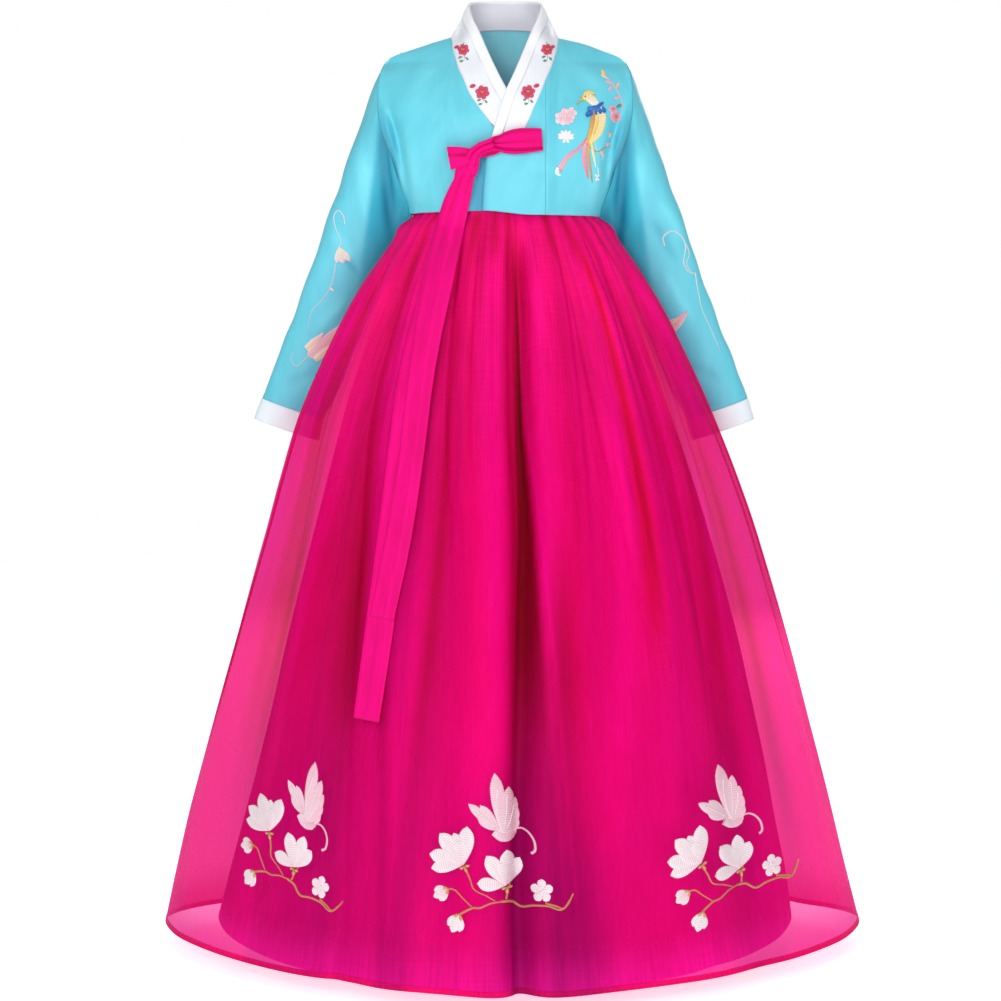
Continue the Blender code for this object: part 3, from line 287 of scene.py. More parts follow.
# Broad folds, by their angle from the front centre towards the wearer's left, at the waist
# and at the hem. A fold with negative depth is a trough.
Fold = namedtuple("Fold", "waist_angle hem_angle depth width start end")
FOLDS = table_of(
    Fold,
    (4.5, 2.2, -0.026, 3.8, -0.262, -1.25),
    (-7, -6, 0.007, 6, -0.27, -1.2),
    (13, 10, 0.009, 7, -0.27, -1.22),
    (27, 24, -0.007, 6, -0.27, -1),
    (38, 36, 0.006, 6, -0.3, -1.15),
    (47, 46, -0.012, 4.5, -0.28, -1.12),
    (60, 58, -0.008, 4, -0.29, -0.8),
    (70, 68, 0.007, 6, -0.3, -1.1),
    (-20, -15, -0.007, 5, -0.27, -1.05),
    (-33, -24, 0.007, 6, -0.28, -1.15),
    (-46, -31, -0.012, 5, -0.27, -1.2),
    (-56, -44, 0.006, 5, -0.3, -1.05),
    (-64, -55, -0.01, 4.5, -0.29, -0.95),
    (-76, -71, 0.006, 6, -0.3, -1.1),
    (84, 84, -0.006, 5, -0.3, -1),
    (98, 100, 0.007, 6, -0.29, -1.15),
    (112, 116, -0.01, 5, -0.28, -1.18),
    (127, 130, 0.008, 7, -0.28, -1.05),
    (143, 148, -0.011, 5, -0.27, -1.15),
    (160, 161, 0.007, 6, -0.28, -1.2),
    (176, 178, -0.015, 4.5, -0.262, -1.22),
    (-167, -164, 0.008, 6, -0.28, -1.1),
    (-151, -149, -0.009, 5, -0.27, -1.2),
    (-134, -133, 0.007, 7, -0.29, -1.05),
    (-118, -119, -0.011, 5, -0.28, -1.15),
    (-102, -103, 0.006, 6, -0.29, -1.1),
    (-89, -88, -0.005, 5, -0.3, -0.95),
)
FOLD_RISE = 0.1  # height over which a fold grows to its full depth
FOLD_FALL = 0.3  # and runs out
LINING_FOLD_SHARE = 0.85

BAND_TOP = -0.13

# ---- Tie -------------------------------------------------------------------------------

# The bow's centre line from the tip of the ear to the knot's right end.
KNOT_FROM = (-0.05, -0.173)
KNOT_TO = (0.0, -0.1575)
KNOT_HALF_HEIGHT = 0.0138
KNOT_HALF_DEPTH = 0.0075
KNOT_UNDER = 0.975  # its lower side lies this far in, between two ridges
KNOT_TAPER = 0.8  # thickness at its ends, as a share of its middle's
LOOP_LAYER_GAP = 0.0038
EAR_TIP_TOP = (-0.0835, 0, -0.163)
EAR_TIP_LOW = (-0.0775, 0, -0.196)
EAR_BULGE = 0.0045
EAR_ROUNDNESS = 0.7
EAR_CROSS_BULGE = 0.4  # bulge across the ear, as a share of the one along it

# The tails, as heights with the places of their two edges.
Tail = namedtuple("Tail", "z left right")
TAIL_LONG = table_of(
    Tail,
    (-0.186, -0.061, -0.0385),
    (-0.204, -0.0726, -0.044),
    (-0.2334, -0.0868, -0.0505),
    (-0.2818, -0.102, -0.0615),
    (-0.36, -0.1205, -0.077),
    (-0.43, -0.138, -0.093),
    (-0.5, -0.153, -0.111),
    (-0.59, -0.164, -0.124),
    (-0.72, -0.18, -0.14),
    (-0.846, -0.196, -0.157),
    (-0.956, -0.21, -0.174),
)
TAIL_SHORT = table_of(
    Tail,
    (-0.186, -0.0605, -0.038),
    (-0.204, -0.0715, -0.043),
    (-0.2334, -0.085, -0.049),
    (-0.2818, -0.1, -0.0595),
    (-0.36, -0.117, -0.075),
    (-0.43, -0.129, -0.09),
    (-0.5, -0.138, -0.102),
    (-0.59, -0.148, -0.113),
    (-0.7, -0.165, -0.129),
    (-0.818, -0.188, -0.1545),
)
TAIL_CLEARANCE = 0.0018  # over the highest folds
TAIL_LAYER = 0.003  # from the long tail's face to the short one's
TAIL_SETTLES = 0.06  # they lie on the garment this far below the knot
TAIL_END_SLANT = 0.004
TAIL_SLANT_ONSET = 6  # power of the way down, as that of the hem's drop
TAIL_END_DARK = 0.18
TAIL_END_SEEN = 0.0015
FOLD_ENVELOPE = 0.01  # the highest that folds and gathers reach in front
DRAPE_REACH = 0.99  # share of its half width that counts as the skirt's front
DRAPE_FROM = 0.01  # this far below the jacket's hem, what hangs goes over to the skirt
DRAPE_RUN = 0.1


# ---- What the looks add ----------------------------------------------------------------

COLUMN_SPLITS = 5  # fine columns for each of a panel's own
PANEL_STEPS = 72  # rows from the shoulder to the underarm
HEM_STEPS = 5  # and from there to the hem
RING_SPLITS = 12
COLLAR_SPANS = 18
COLLAR_SPLITS = 8
COLLAR_PROUD = 0.0009  # the collar stands this far off the panel that it is sewn on
COLLAR_PROUD_RUN = 0.25  # share of its width over which it comes to stand so
CUFF_PROUD = 0.0006
CUFF_TUCK = 0.0105  # a faint line of stitching this far above the cuff
CUFF_TUCK_DEPTH = 0.0005
CUFF_TUCK_WIDTH = 0.0012

# How deep an edge is turned in, and over what width.
TURNED = (0.0007, 0.0022)
SEAM_TURNED = (0.0001, 0.0012)
SLEEVE_TURNED = (0.0004, 0.0014)
COLLAR_TURNED = (0.0008, 0.0018)
STRIP_TURNED = (0.0006, 0.0012)
TAIL_TURNED = (0.0005, 0.0012)

SWELLS = 0.0005  # height of the faint swells that cloth has over a body
SLEEVE_SWELLS = 0.0007
COLLAR_SWELLS = 0.0004

# The radius that sets the scale of the weave round a piece that closes.
SLEEVE_UV_RADIUS = 0.05
SKIRT_UV_RADIUS = 0.33

# Fine columns and rows, and how much closer the rows are at the top.
SHELL_FINE = 720
SHELL_ROWS = 110
SHELL_CROWDING = 1.35
LINING_FINE = 360
LINING_ROWS = 70
LINING_CROWDING = 1.3
BAND_FINE = 144
BAND_ROWS = 10
HEM_ROWS = 4
TAIL_ROWS = 170
TAIL_SPANS = 28
KNOT_ROWS = 36
KNOT_SIDES = 72
LOOP_STEPS = 34
BEND_STEPS = 12
LOOP_SPANS = 30
EAR_STEPS = 26
EAR_SPANS = 22

ROLLED_HEM = 0.0075  # height of the shell's narrow rolled hem
HEM_PROUD = 0.0004
HEM_WALL = 0.001

# Creases in the satin, seen from the front or back. A crease with negative depth is a trough.
Crease = namedtuple("Crease", "x0 z0 x1 z1 width depth")
CREASE_FULL = 0.004  # a trough this deep gets the darkest painted shade
CREASE_SHADE = np.array([0.62, 0.36, 0.28])
CREASE_TONES = (-1.0, 0.4)  # from the darkest painted shade in a trough to the lightest painted highlight on a ridge, as shares of that
EDGE_PAINTED_HIGHLIGHT = 0.1  # painted highlight: how much lighter a turned edge is made
SEAM_DARK = 0.01  # and how much darker a seam
EDGE_SEEN = 0.001  # width over which that shows
LINED = np.array([1.3, 1.22, 1.16])  # the satin's wrong side is paler, partly its own colour and partly painted light inside the garment
BACK_INSIDE_PAINTED_LIGHT = np.array([2.3, 1.45, 1.34])  # and much paler inside the back: painted light where light comes in through the neck

# Where the jacket is shaded, by height: how far out the shade's edge is and how dark it is.
Shadow = namedtuple("Shadow", "z edge_x dark")
ARM_SHADE = np.array([0.78, 0.3, 0.22])  # of the colour, on the sleeve beside the body
ARM_SHADE_SOFT = 0.012
ARM_SHADES = table_of(
    Shadow,
    (-0.06, 0.172, 0),
    (-0.12, 0.182, 0.95),
    (-0.18, 0.19, 1),
    (-0.26, 0.203, 1.1),
    (-0.33, 0.214, 0.6),
    (-0.42, 0.23, 0),
)
SIDE_SHADE = np.array([0.92, 0.52, 0.4])  # on the body, under the arms
SIDE_SHADE_SOFT = 0.007
SIDE_SHADES = table_of(
    Shadow,
    (-0.08, 0.186, 0),
    (-0.125, 0.166, 0.45),
    (-0.16, 0.158, 0.7),
    (-0.22, 0.152, 0.8),
    (-0.3, 0.146, 0.8),
)
DARKEST = 0.05  # a shade leaves at least this much of the colour
COLLAR_BEHIND_PAINTED_LIGHT = 0.22  # painted light: how much paler the collar is made behind the neck, where it lies in shade
COLLAR_BEHIND_RUN = 0.02  # depth over which that painted light comes in
COLLAR_EDGE_DARK = 0.1
STRIP_EDGE_DARK = 0.12
COLLAR_EDGE_SEEN = 0.0012
OVERLAP_SHADE = np.array([0.42, 0.26, 0.1])  # painted shadow on the right front, beside the overlap
OVERLAP_SHADE_X = -0.051
OVERLAP_SHADE_TOP = -0.158
OVERLAP_SHADE_SOFT = (0.012, 0.015)  # across and down
CREASE_TURN = 0.05  # a crease fades where the cloth turns away from its side
CREASE_TURN_RUN = 0.4
CREASE_END = 0.35  # share of a crease's length over which it fades at each end
FRONT_CREASES = table_of(
    Crease,
    (-0.033, -0.13, -0.043, -0.33, 0.01, -0.003),
    (-0.172, -0.15, -0.15, -0.262, 0.006, -0.0016),
    (-0.15, -0.12, -0.12, -0.262, 0.012, 0.0012),
    (0.166, -0.15, 0.146, -0.262, 0.006, -0.0016),
    (0.14, -0.15, 0.118, -0.262, 0.012, 0.001),
    (-0.1, -0.02, -0.15, -0.13, 0.014, 0.001),
    (0.102, -0.02, 0.152, -0.12, 0.014, 0.001),
    (0.02, -0.175, 0.09, -0.205, 0.01, 0.0007),
    (-0.06, -0.12, -0.11, -0.235, 0.012, -0.0008),
)
BACK_CREASES = table_of(
    Crease,
    (-0.168, -0.14, -0.146, -0.262, 0.007, -0.0016),
    (0.168, -0.15, 0.148, -0.262, 0.007, -0.0016),
    (-0.14, -0.06, -0.07, -0.23, 0.016, 0.0014),
    (0.135, -0.07, 0.06, -0.235, 0.016, 0.0013),
    (-0.09, -0.09, -0.03, -0.25, 0.012, -0.0011),
    (0.095, -0.08, 0.035, -0.25, 0.012, -0.001),
)
# On the wearer's left sleeve (1) and right one (-1).
SLEEVE_FRONT_CREASES = {
    1: table_of(
        Crease,
        (0.179, -0.1, 0.164, -0.33, 0.0085, -0.0062),
        (0.2, -0.14, 0.186, -0.3, 0.01, 0.0022),
        (0.208, -0.25, 0.262, -0.335, 0.008, -0.0022),
        (0.222, -0.225, 0.276, -0.3, 0.009, 0.0018),
        (0.232, -0.33, 0.285, -0.42, 0.01, 0.0014),
        (0.262, -0.47, 0.33, -0.5, 0.008, -0.0012),
    ),
    -1: table_of(
        Crease,
        (-0.184, -0.1, -0.164, -0.31, 0.0085, -0.0062),
        (-0.212, -0.15, -0.196, -0.29, 0.01, 0.0022),
        (-0.252, -0.3, -0.212, -0.345, 0.0055, -0.0024),
        (-0.262, -0.27, -0.214, -0.325, 0.009, 0.0018),
        (-0.225, -0.37, -0.29, -0.43, 0.009, 0.0014),
        (-0.268, -0.48, -0.335, -0.505, 0.008, -0.0012),
    ),
}
SLEEVE_BACK_CREASES = {
    1: table_of(
        Crease,
        (0.182, -0.1, 0.166, -0.3, 0.009, -0.0055),
        (0.212, -0.15, 0.196, -0.3, 0.01, 0.002),
        (0.205, -0.28, 0.268, -0.345, 0.008, -0.002),
        (0.24, -0.4, 0.3, -0.44, 0.009, 0.0014),
    ),
    -1: table_of(
        Crease,
        (-0.184, -0.105, -0.168, -0.305, 0.009, -0.0055),
        (-0.214, -0.16, -0.2, -0.31, 0.011, 0.002),
        (-0.21, -0.29, -0.272, -0.35, 0.007, -0.002),
        (-0.246, -0.41, -0.305, -0.445, 0.009, 0.0013),
    ),
}

# The skirt's narrower folds and pleats, as those of FOLDS.
FINE_FOLDS = table_of(
    Fold,
    (1, 1.5, -0.004, 0.9, -0.262, -0.52),
    (-4, -2.5, -0.003, 0.9, -0.262, -0.42),
    (-12, -9, -0.004, 1, -0.262, -0.48),
    (-20, -11, -0.0045, 1.1, -0.262, -0.56),
    (23.6, 17, -0.0045, 1, -0.262, -0.6),
    (24.8, 36, -0.004, 1.1, -0.262, -0.64),
    (41, 41, -0.005, 1.1, -0.262, -0.76),
    (38, 34, 0.004, 1.4, -0.3, -0.86),
    (54, 42, 0.004, 1.2, -0.28, -0.76),
    (-28, -30, -0.0045, 1.1, -0.3, -0.78),
    (-45, -33, -0.006, 1.2, -0.262, -1.15),
    (-35, -33, 0.004, 1.3, -0.262, -0.9),
    (-65, -54, -0.005, 1.2, -0.3, -0.82),
    (60, 57, -0.005, 1.1, -0.34, -0.82),
    (78, 76, -0.004, 1.4, -0.29, -0.8),
    (-82, -80, -0.004, 1.4, -0.29, -0.86),
    (95, 96, -0.0045, 1.2, -0.27, -0.7),
    (107, 109, 0.004, 1.3, -0.27, -0.8),
    (121, 122, -0.005, 1.1, -0.262, -0.64),
    (136, 139, -0.0045, 1.2, -0.262, -0.76),
    (152, 154, 0.004, 1.3, -0.262, -0.82),
    (168, 168, -0.005, 1.1, -0.262, -0.56),
    (-178, -176, 0.004, 1.2, -0.262, -0.7),
    (-160, -158, -0.005, 1.1, -0.262, -0.64),
    (-143, -141, -0.0045, 1.2, -0.262, -0.78),
    (-126, -127, 0.004, 1.3, -0.262, -0.82),
    (-110, -111, -0.0045, 1.2, -0.262, -0.7),
    (-97, -98, 0.004, 1.4, -0.27, -0.64),
)

# Painted shade down the skirt's folds and pleats, and partly where its layers lie on each other: the
# angle and width at the waist and at the hem in degrees, how dark, and the heights at which it starts,
# is full, begins to run out and has ended. A row that is dark below zero is a painted highlight along a
# fold edge. Above 2, edge makes its borders sharper.
Shade = namedtuple(
    "Shade", "waist_angle hem_angle waist_width hem_width dark start full keep end edge", defaults=(2,))
SHADES = table_of(
    Shade,
    (3.8, 4.9, 0.35, 5.2, 0.2, -0.33, -0.7, -0.8, -1.02, 16),
    (3.8, 5.2, 0.45, 6, 0.21, -0.3, -0.42, -1.31, -1.5, 16),
    (-4.6, -4, 2.4, 1, 0.24, -0.2, -0.262, -0.28, -0.35),
    (-14.6, -12.5, 3, 1.2, 0.3, -0.2, -0.262, -0.28, -0.36),
    (-9, -8, 0.9, 0.9, 0.2, -0.23, -0.29, -0.33, -0.43),
    (0.9, 2.6, 1.4, 0.9, 0.24, -0.2, -0.262, -0.3, -0.4),
    (21.5, 17, 2.6, 1.4, 0.3, -0.2, -0.262, -0.28, -0.36),
    (19, 14, 1.2, 2.2, 0.12, -0.3, -0.4, -0.6, -0.86),
    (32.4, 30, 2.4, 1.2, 0.28, -0.2, -0.262, -0.28, -0.35),
    (42, 38, 2, 1.2, 0.2, -0.2, -0.262, -0.28, -0.34),
    (35.5, 32, 0.8, 1.5, 0.2, -0.27, -0.36, -0.66, -0.86, 3),
    (54, 50, 1.5, 1.5, 0.25, -0.2, -0.262, -0.28, -0.34),
    (-28.8, -25, 2.4, 1.4, 0.26, -0.2, -0.262, -0.28, -0.36),
    (-46, -40, 1.6, 1.6, 0.28, -0.2, -0.262, -0.29, -0.38),
    (-16, -22, 1.1, 1.9, 0.22, -0.3, -0.52, -1.3, -1.5),
    (-31, -24.8, 1, 1.2, 0.24, -0.52, -0.8, -1.3, -1.5),
    (-41, -33.5, 1.8, 2, 0.16, -0.28, -0.4, -0.76, -1.1),
    (-66, -60, 1.5, 2, 0.08, -0.3, -0.4, -0.9, -1.2),
    (53, 47, 1.4, 2, 0.14, -0.32, -0.45, -1, -1.3),
    (71, 69, 1.6, 2, 0.06, -0.32, -0.45, -1, -1.3),
    (50.5, 42, 0.55, 0.45, -0.13, -0.28, -0.36, -0.9, -1.2),
    (58, 46, 0.55, 0.45, -0.13, -0.33, -0.42, -0.72, -0.96),
    (29, 25, 0.55, 0.45, -0.1, -0.28, -0.34, -0.6, -0.8),
    (4.5, 13.9, 0.35, 0.4, -0.16, -0.27, -0.36, -1.1, -1.3),
    (-70, -57, 0.55, 0.45, -0.12, -0.29, -0.36, -0.52, -0.8),
    (-47, -53, 0.5, 0.45, -0.1, -0.44, -0.52, -0.64, -0.82),
    (4.2, 4.9, 0.45, 0.8, 0.3, -0.22, -0.29, -0.52, -0.72, 4),
    (-43, -42.5, 6, 8, 0.15, -0.5, -0.8, -1.31, -1.5, 14),
    (-3.5, -3.2, 3, 5.5, 0.09, -0.95, -1.08, -1.31, -1.5, 4),
    (48, 46, 3, 6, 0.06, -0.6, -0.9, -1.31, -1.5, 8),
    (79, 79, 0.6, 0.45, 0.13, -0.45, -0.6, -1.31, -1.5),
    (-79, -79, 0.6, 0.45, 0.13, -0.45, -0.6, -1.31, -1.5),
    (31, 21, 2.5, 3, -0.14, -0.45, -0.6, -1, -1.25),
    (12.5, 12.5, 3, 4, 0.26, -0.64, -0.9, -1.31, -1.5),
    (16, 16, 4, 4.5, 0.18, -1.02, -1.2, -1.31, -1.5),
    (-76, -74, 10, 12, 0.12, -0.7, -0.9, -1.31, -1.5),
    (-12, -9, 4, 5, 0.05, -0.3, -0.36, -0.5, -0.7),
    (88, 88, 1.6, 2, 0.04, -0.262, -0.33, -0.9, -1.2),
    (112, 115, 0.8, 2.2, 0.24, -0.24, -0.3, -1.05, -1.3),
    (128, 126, 0.55, 0.45, -0.11, -0.28, -0.36, -0.8, -1.1),
    (143, 147, 0.7, 2.2, 0.24, -0.24, -0.3, -1.1, -1.4),
    (158, 160, 0.55, 0.45, -0.1, -0.28, -0.36, -0.7, -0.95),
    (176, 178, 0.6, 2.8, 0.36, -0.22, -0.29, -1.2, -1.5),
    (-168, -166, 0.55, 0.45, -0.11, -0.28, -0.36, -0.9, -1.2),
    (-151, -149, 0.7, 2.2, 0.24, -0.24, -0.3, -1, -1.3),
    (-135, -132, 0.55, 0.45, -0.1, -0.28, -0.36, -0.7, -1),
    (-118, -119, 0.8, 2, 0.24, -0.24, -0.3, -1, -1.3),
    (-96, -95, 1.2, 2, 0.05, -0.262, -0.33, -0.9, -1.2),
)
# Bands down the skirt where it is redder, and hardly darker.
REDS = table_of(
    Shade,
    (35.5, 31.5, 1.6, 2.8, 0.5, -0.262, -0.34, -0.76, -0.96, 3),
    (16, 15, 3, 3, 0.18, -0.262, -0.34, -0.9, -1.2),
    (-12, -8, 3, 4, 0.16, -0.262, -0.4, -0.8, -1.1),
    (2, 0, 1.5, 2.6, 0.22, -0.3, -0.5, -0.8, -1.1),
    (-52, -46, 3, 3, 0.15, -0.3, -0.4, -0.8, -1.1),
    (150, 150, 3, 4, 0.2, -0.262, -0.4, -0.9, -1.2),
    (-170, -168, 3, 4, 0.2, -0.262, -0.4, -0.9, -1.2),
)
LINING_LONGER = 0.009  # in front, where the photo shows its edge close over the hem
LONGER_REACH = 1.4  # above 1, the sides of the front are as long
WAIST_PUFF = 0.006  # how far the cloth puffs out at the sides, right below the jacket
WAIST_PUFF_Z = -0.272
WAIST_PUFF_WIDTH = 0.013
WAIST_PUFF_POINT = 6  # power of the sine of its angle: the higher, the closer to the sides
CLEAR_AT_WAIST = 0.2  # share of its clearness that the organza keeps where it is gathered
CLEAR_FROM = -0.25
CLEAR_RUN = 0.45
CLEAR_AT_HEM = 0.38  # and over the hem, where the photo shows it denser
CLEAR_HEM_RUN = 0.075
WAIST_RED_AND_PAINTED_LIGHT = np.array([1.06, 1.0, 0.66])  # the gathered organza is redder, and its red is raised as painted light against the shade of its gathers
RIDGE_FULL = 0.1  # height of a broad fold whose painted shade or highlight would change the tone by all of it
# The most painted highlight on a broad fold's ridge, and the most painted shade in its trough.
RIDGE_LIGHT = 0.06
RIDGE_DARK = 0.2
PLEAT_TURN = -0.78  # from here down a pleat's painted shade turns from red to purple
PLEAT_TURN_RUN = 0.36
PLEAT_RED = 2.5  # power of the tone that blue follows: above 1, a pleat is redder
PLEAT_PURPLE = 0.75  # and below 1, more purple
TONE_RANGE = (0.2, 1.15)
LINING_TONE = 0.6  # share of the skirt's tone, painted shade and highlight included, that the lining takes
SHELL_TAKEN_UP = 1.12  # area of the cut for each part of the hung cloth's, with its gathers
LINING_TAKEN_UP = 1.08

# Pleats in the ribbon: where across it they start and end, as shares of its width, and the
# share of their height that is kept at the far end. Those of the tails sink to it over reach.
Pleat = namedtuple("Pleat", "top_share end_share height width kept reach")
LONG_PLEATS = table_of(
    Pleat,
    (0.2, 0.12, 0.0016, 0.06, 0.15, 0.22),
    (0.45, 0.42, -0.0014, 0.05, 0.2, 0.26),
    (0.7, 0.75, 0.0016, 0.06, 0.12, 0.2),
)
SHORT_PLEATS = table_of(
    Pleat,
    (0.18, 0.1, 0.0018, 0.06, 0.15, 0.2),
    (0.36, 0.3, -0.0016, 0.045, 0.1, 0.16),
    (0.55, 0.62, 0.002, 0.055, 0.2, 0.24),
    (0.78, 0.88, -0.0014, 0.05, 0.1, 0.14),
)
LOOP_PLEATS = table_of(
    Pleat,
    (0.8, 0.9, -0.003, 0.06, 0.75, 0),
    (0.92, 0.97, 0.0012, 0.05, 0.6, 0),
    (0.3, 0.22, 0.0014, 0.09, 0.1, 0),
    (0.5, 0.55, -0.0014, 0.06, 0.05, 0),
    (0.15, 0.05, -0.0008, 0.05, 0.1, 0),
)
EAR_PLEATS = table_of(
    Pleat,
    (0.45, 0.35, -0.002, 0.08, 0.3, 0),
    (0.72, 0.78, 0.0014, 0.08, 0.25, 0),
)

PLEAT_SHADE = np.array([0.36, 0, 0.46])  # of the ribbon's colour, in a pleat
PLEAT_FULL = 0.0013  # a pleat this deep gets the darkest painted shade
PLEAT_TONES = (-1.0, 0.5)  # from the darkest painted shade in the deepest pleat to the lightest painted highlight on the highest ridge, as shares of that
TAIL_PLEATS_RUN = 0.5  # length over which they reach their last place
TAIL_PLEATS_START = 0.012  # and over which they start
TAIL_SWAY = 0.0008  # the tails wave this far off what they hang on
TAIL_SWAY_START = 0.15

# The wrap over the knot: its upper and lower edge from behind the loop to the front tail, and
# how far it stands off the jacket.
Wrap = namedtuple("Wrap", "top_x top_z low_x low_z stand")
WRAP = table_of(
    Wrap,
    (-0.0115, -0.1475, -0.0105, -0.168, 0.006),
    (-0.0175, -0.149, -0.0155, -0.1698, 0.0115),
    (-0.0265, -0.1532, -0.0215, -0.1716, 0.014),
    (-0.0363, -0.1568, -0.0275, -0.1735, 0.0148),
    (-0.0445, -0.1617, -0.0322, -0.176, 0.0145),
    (-0.0521, -0.1676, -0.0352, -0.18, 0.013),
    (-0.0585, -0.176, -0.0362, -0.1865, 0.0108),
    (-0.0645, -0.185, -0.0375, -0.1935, 0.0085),
    (-0.0705, -0.195, -0.04, -0.201, 0.0065),
)
WRAP_ROUND = 0.3  # how far its edges turn in, as a share of its stand
WRAP_FLATNESS = 2.5  # above 1, it is flat over its middle
WRAP_JOIN = 0.015  # height from its last station to the tail's first row
WRAP_SPLITS = 6
CORE_FROM = (-0.045, -0.1715)
CORE_TO = (-0.006, -0.161)
CORE_HALF_HEIGHT = 0.0105
CORE_HALF_DEPTH = 0.0052
CORE_END = 0.5  # its section's area at its ends, as a share of its middle's
CORE_END_POINT = 5  # above 1, it keeps its size until close to them
CORE_TONE_AT = 1.05  # a ridge this high keeps the ribbon's colour; lower it gets painted shade, higher painted highlight
CORE_TONE_RUN = 40

# The ridges of the rolled core: their height as a share of its size, how many there are round it,
# how far they twist along it and where they start, both in radians.
CoreRidge = namedtuple("CoreRidge", "height count twist start")
CORE_RIDGES = table_of(
    CoreRidge,
    (0.05, 7, -3.1, 0.5),
    (0.03, 12, 4, 0),
)

# The loop from its root to its far end: its upper and lower edge and how far it puffs out.
LoopEdge = namedtuple("LoopEdge", "way top low puff")
LOOP_EDGES = table_of(
    LoopEdge,
    (0, -0.15, -0.1672, 0.006),
    (0.12, -0.1466, -0.1702, 0.0066),
    (0.25, -0.1422, -0.1726, 0.0064),
    (0.42, -0.1388, -0.1734, 0.0056),
    (0.6, -0.1372, -0.1727, 0.0046),
    (0.8, -0.1371, -0.1708, 0.0034),
    (1, -0.1375, -0.1686, 0.0016),
)
LOOP_ROOT_X = -0.016
LOOP_FAR_X = (0.0502, 0.0526)  # at its upper and lower corner
LOOP_TURN = 0.02  # how far the bend reaches past them, as a share of the loop's length
LOOP_SEAT_Z = -0.169
LOOP_ROUNDNESS = 0.6  # below 1, its puff is fuller at the edges
# Painted shade at the loop's root, where it comes from under the wrap.
LOOP_ROOT_PAINTED_SHADE = 0.25
LOOP_ROOT_SEEN = 0.1  # share of its length over which that shows
EAR_ROOT = ((-0.046, -0.1668), (-0.044, -0.187))
EAR_STAND = (0.0068, 0.003)  # off the jacket at its root and its tip
EAR_ARCH = 0.0012  # height of its upper edge's arch
# Painted shade at the ear's root, where it comes from under the wrap.
EAR_ROOT_PAINTED_SHADE = 0.3
EAR_ROOT_SEEN = 0.3


# ---- Curves through tables -------------------------------------------------------------

class Curve:
    """A smooth curve through a table's rows. It never overshoots them."""

    def __init__(self, keys, values):
        order = np.argsort(keys)
        self.keys = np.asarray(keys, float)[order]
        self.values = np.asarray(values, float)[order]
        steps = np.diff(self.keys)
        ramps = np.diff(self.values) / steps
        self.slopes = np.concatenate([ramps[:1], np.zeros(len(ramps) - 1), ramps[-1:]])
        for i in range(1, len(ramps)):
            before, after = ramps[i - 1], ramps[i]
            if before * after > 0:
                heavy = 2 * steps[i] + steps[i - 1]
                light = steps[i] + 2 * steps[i - 1]
                self.slopes[i] = (heavy + light) / (heavy / before + light / after)

    def __call__(self, key):
        key = np.clip(key, self.keys[0], self.keys[-1])
        i = np.clip(np.searchsorted(self.keys, key, side="right") - 1, 0, len(self.keys) - 2)
        step = self.keys[i + 1] - self.keys[i]
        t = (key - self.keys[i]) / step
        start = (1 + 2 * t) * (1 - t) ** 2 * self.values[i]
        end = t * t * (3 - 2 * t) * self.values[i + 1]
        leave = t * (1 - t) ** 2 * step * self.slopes[i]
        arrive = t * t * (t - 1) * step * self.slopes[i + 1]
        return start + end + leave + arrive


def curves(table):
    """One curve for each named column after the first."""
    keys = [row[0] for row in table]
    made = SimpleNamespace()
    for name in type(table[0])._fields[1:]:
        setattr(made, name, Curve(keys, [getattr(row, name) for row in table]))
    return made


def ease(t):
    """0 to 1 with level ends."""
    t = np.clip(t, 0.0, 1.0)
    return t * t * (3 - 2 * t)


def mix(a, b, t):
    return a + (b - a) * t


def bell(off, width, power=2):
    return np.exp(-np.abs(off / width) ** power)


def smooth(points, per, closed=False):
    """More points along the first axis, on a smooth curve through the given ones."""
    points = np.asarray(points, float)
    count = len(points)
    if closed:
        ring = np.concatenate([points[-1:], points, points[:2]])
    else:
        ring = np.concatenate([2 * points[:1] - points[1:2], points, 2 * points[-1:] - points[-2:-1]])
    spans = count if closed else count - 1
    t = (np.arange(per) / per).reshape(1, per, *[1] * (points.ndim - 1))
    p = [ring[k:k + spans, None] for k in range(4)]
    made = 0.5 * (2 * p[1] + (p[2] - p[0]) * t + (2 * p[0] - 5 * p[1] + 4 * p[2] - p[3]) * t ** 2
                  + (3 * p[1] - p[0] - 3 * p[2] + p[3]) * t ** 3)
    made = made.reshape(spans * per, *points.shape[1:])
    return made if closed else np.concatenate([made, points[-1:]])


shoulder = curves(SHOULDER_LINE)
back_neck = curves(BACK_NECK)
armhole = curves(ARMHOLE)
body = curves(BODY_DEPTH)
shell = curves(SHELL_SECTIONS)
lining = curves(LINING_SECTIONS)


# ---- Meshes ----------------------------------------------------------------------------

def along_lengths(grid, axis):
    """Lengths along the grid's rows (1) or columns (0), from its first point."""
    steps = np.linalg.norm(np.diff(grid, axis=axis), axis=2)
    lead = [(0, 0), (0, 0)]
    lead[axis] = (1, 0)
    return np.pad(np.cumsum(steps, axis=axis), lead)


def normals(grid, closed=False):
    """Unit directions square to a grid of points, by the differences between neighbours."""
    if closed:
        along = np.roll(grid, -1, 1) - np.roll(grid, 1, 1)
    else:
        along = np.gradient(grid, axis=1)
    across = np.cross(along, np.gradient(grid, axis=0))
    return across / np.maximum(np.linalg.norm(across, axis=2, keepdims=True), 1e-12)


def outward(directions, way):
    """The same directions, all turned over if most of them point against way."""
    return directions if np.sum(directions * way) > 0 else -directions


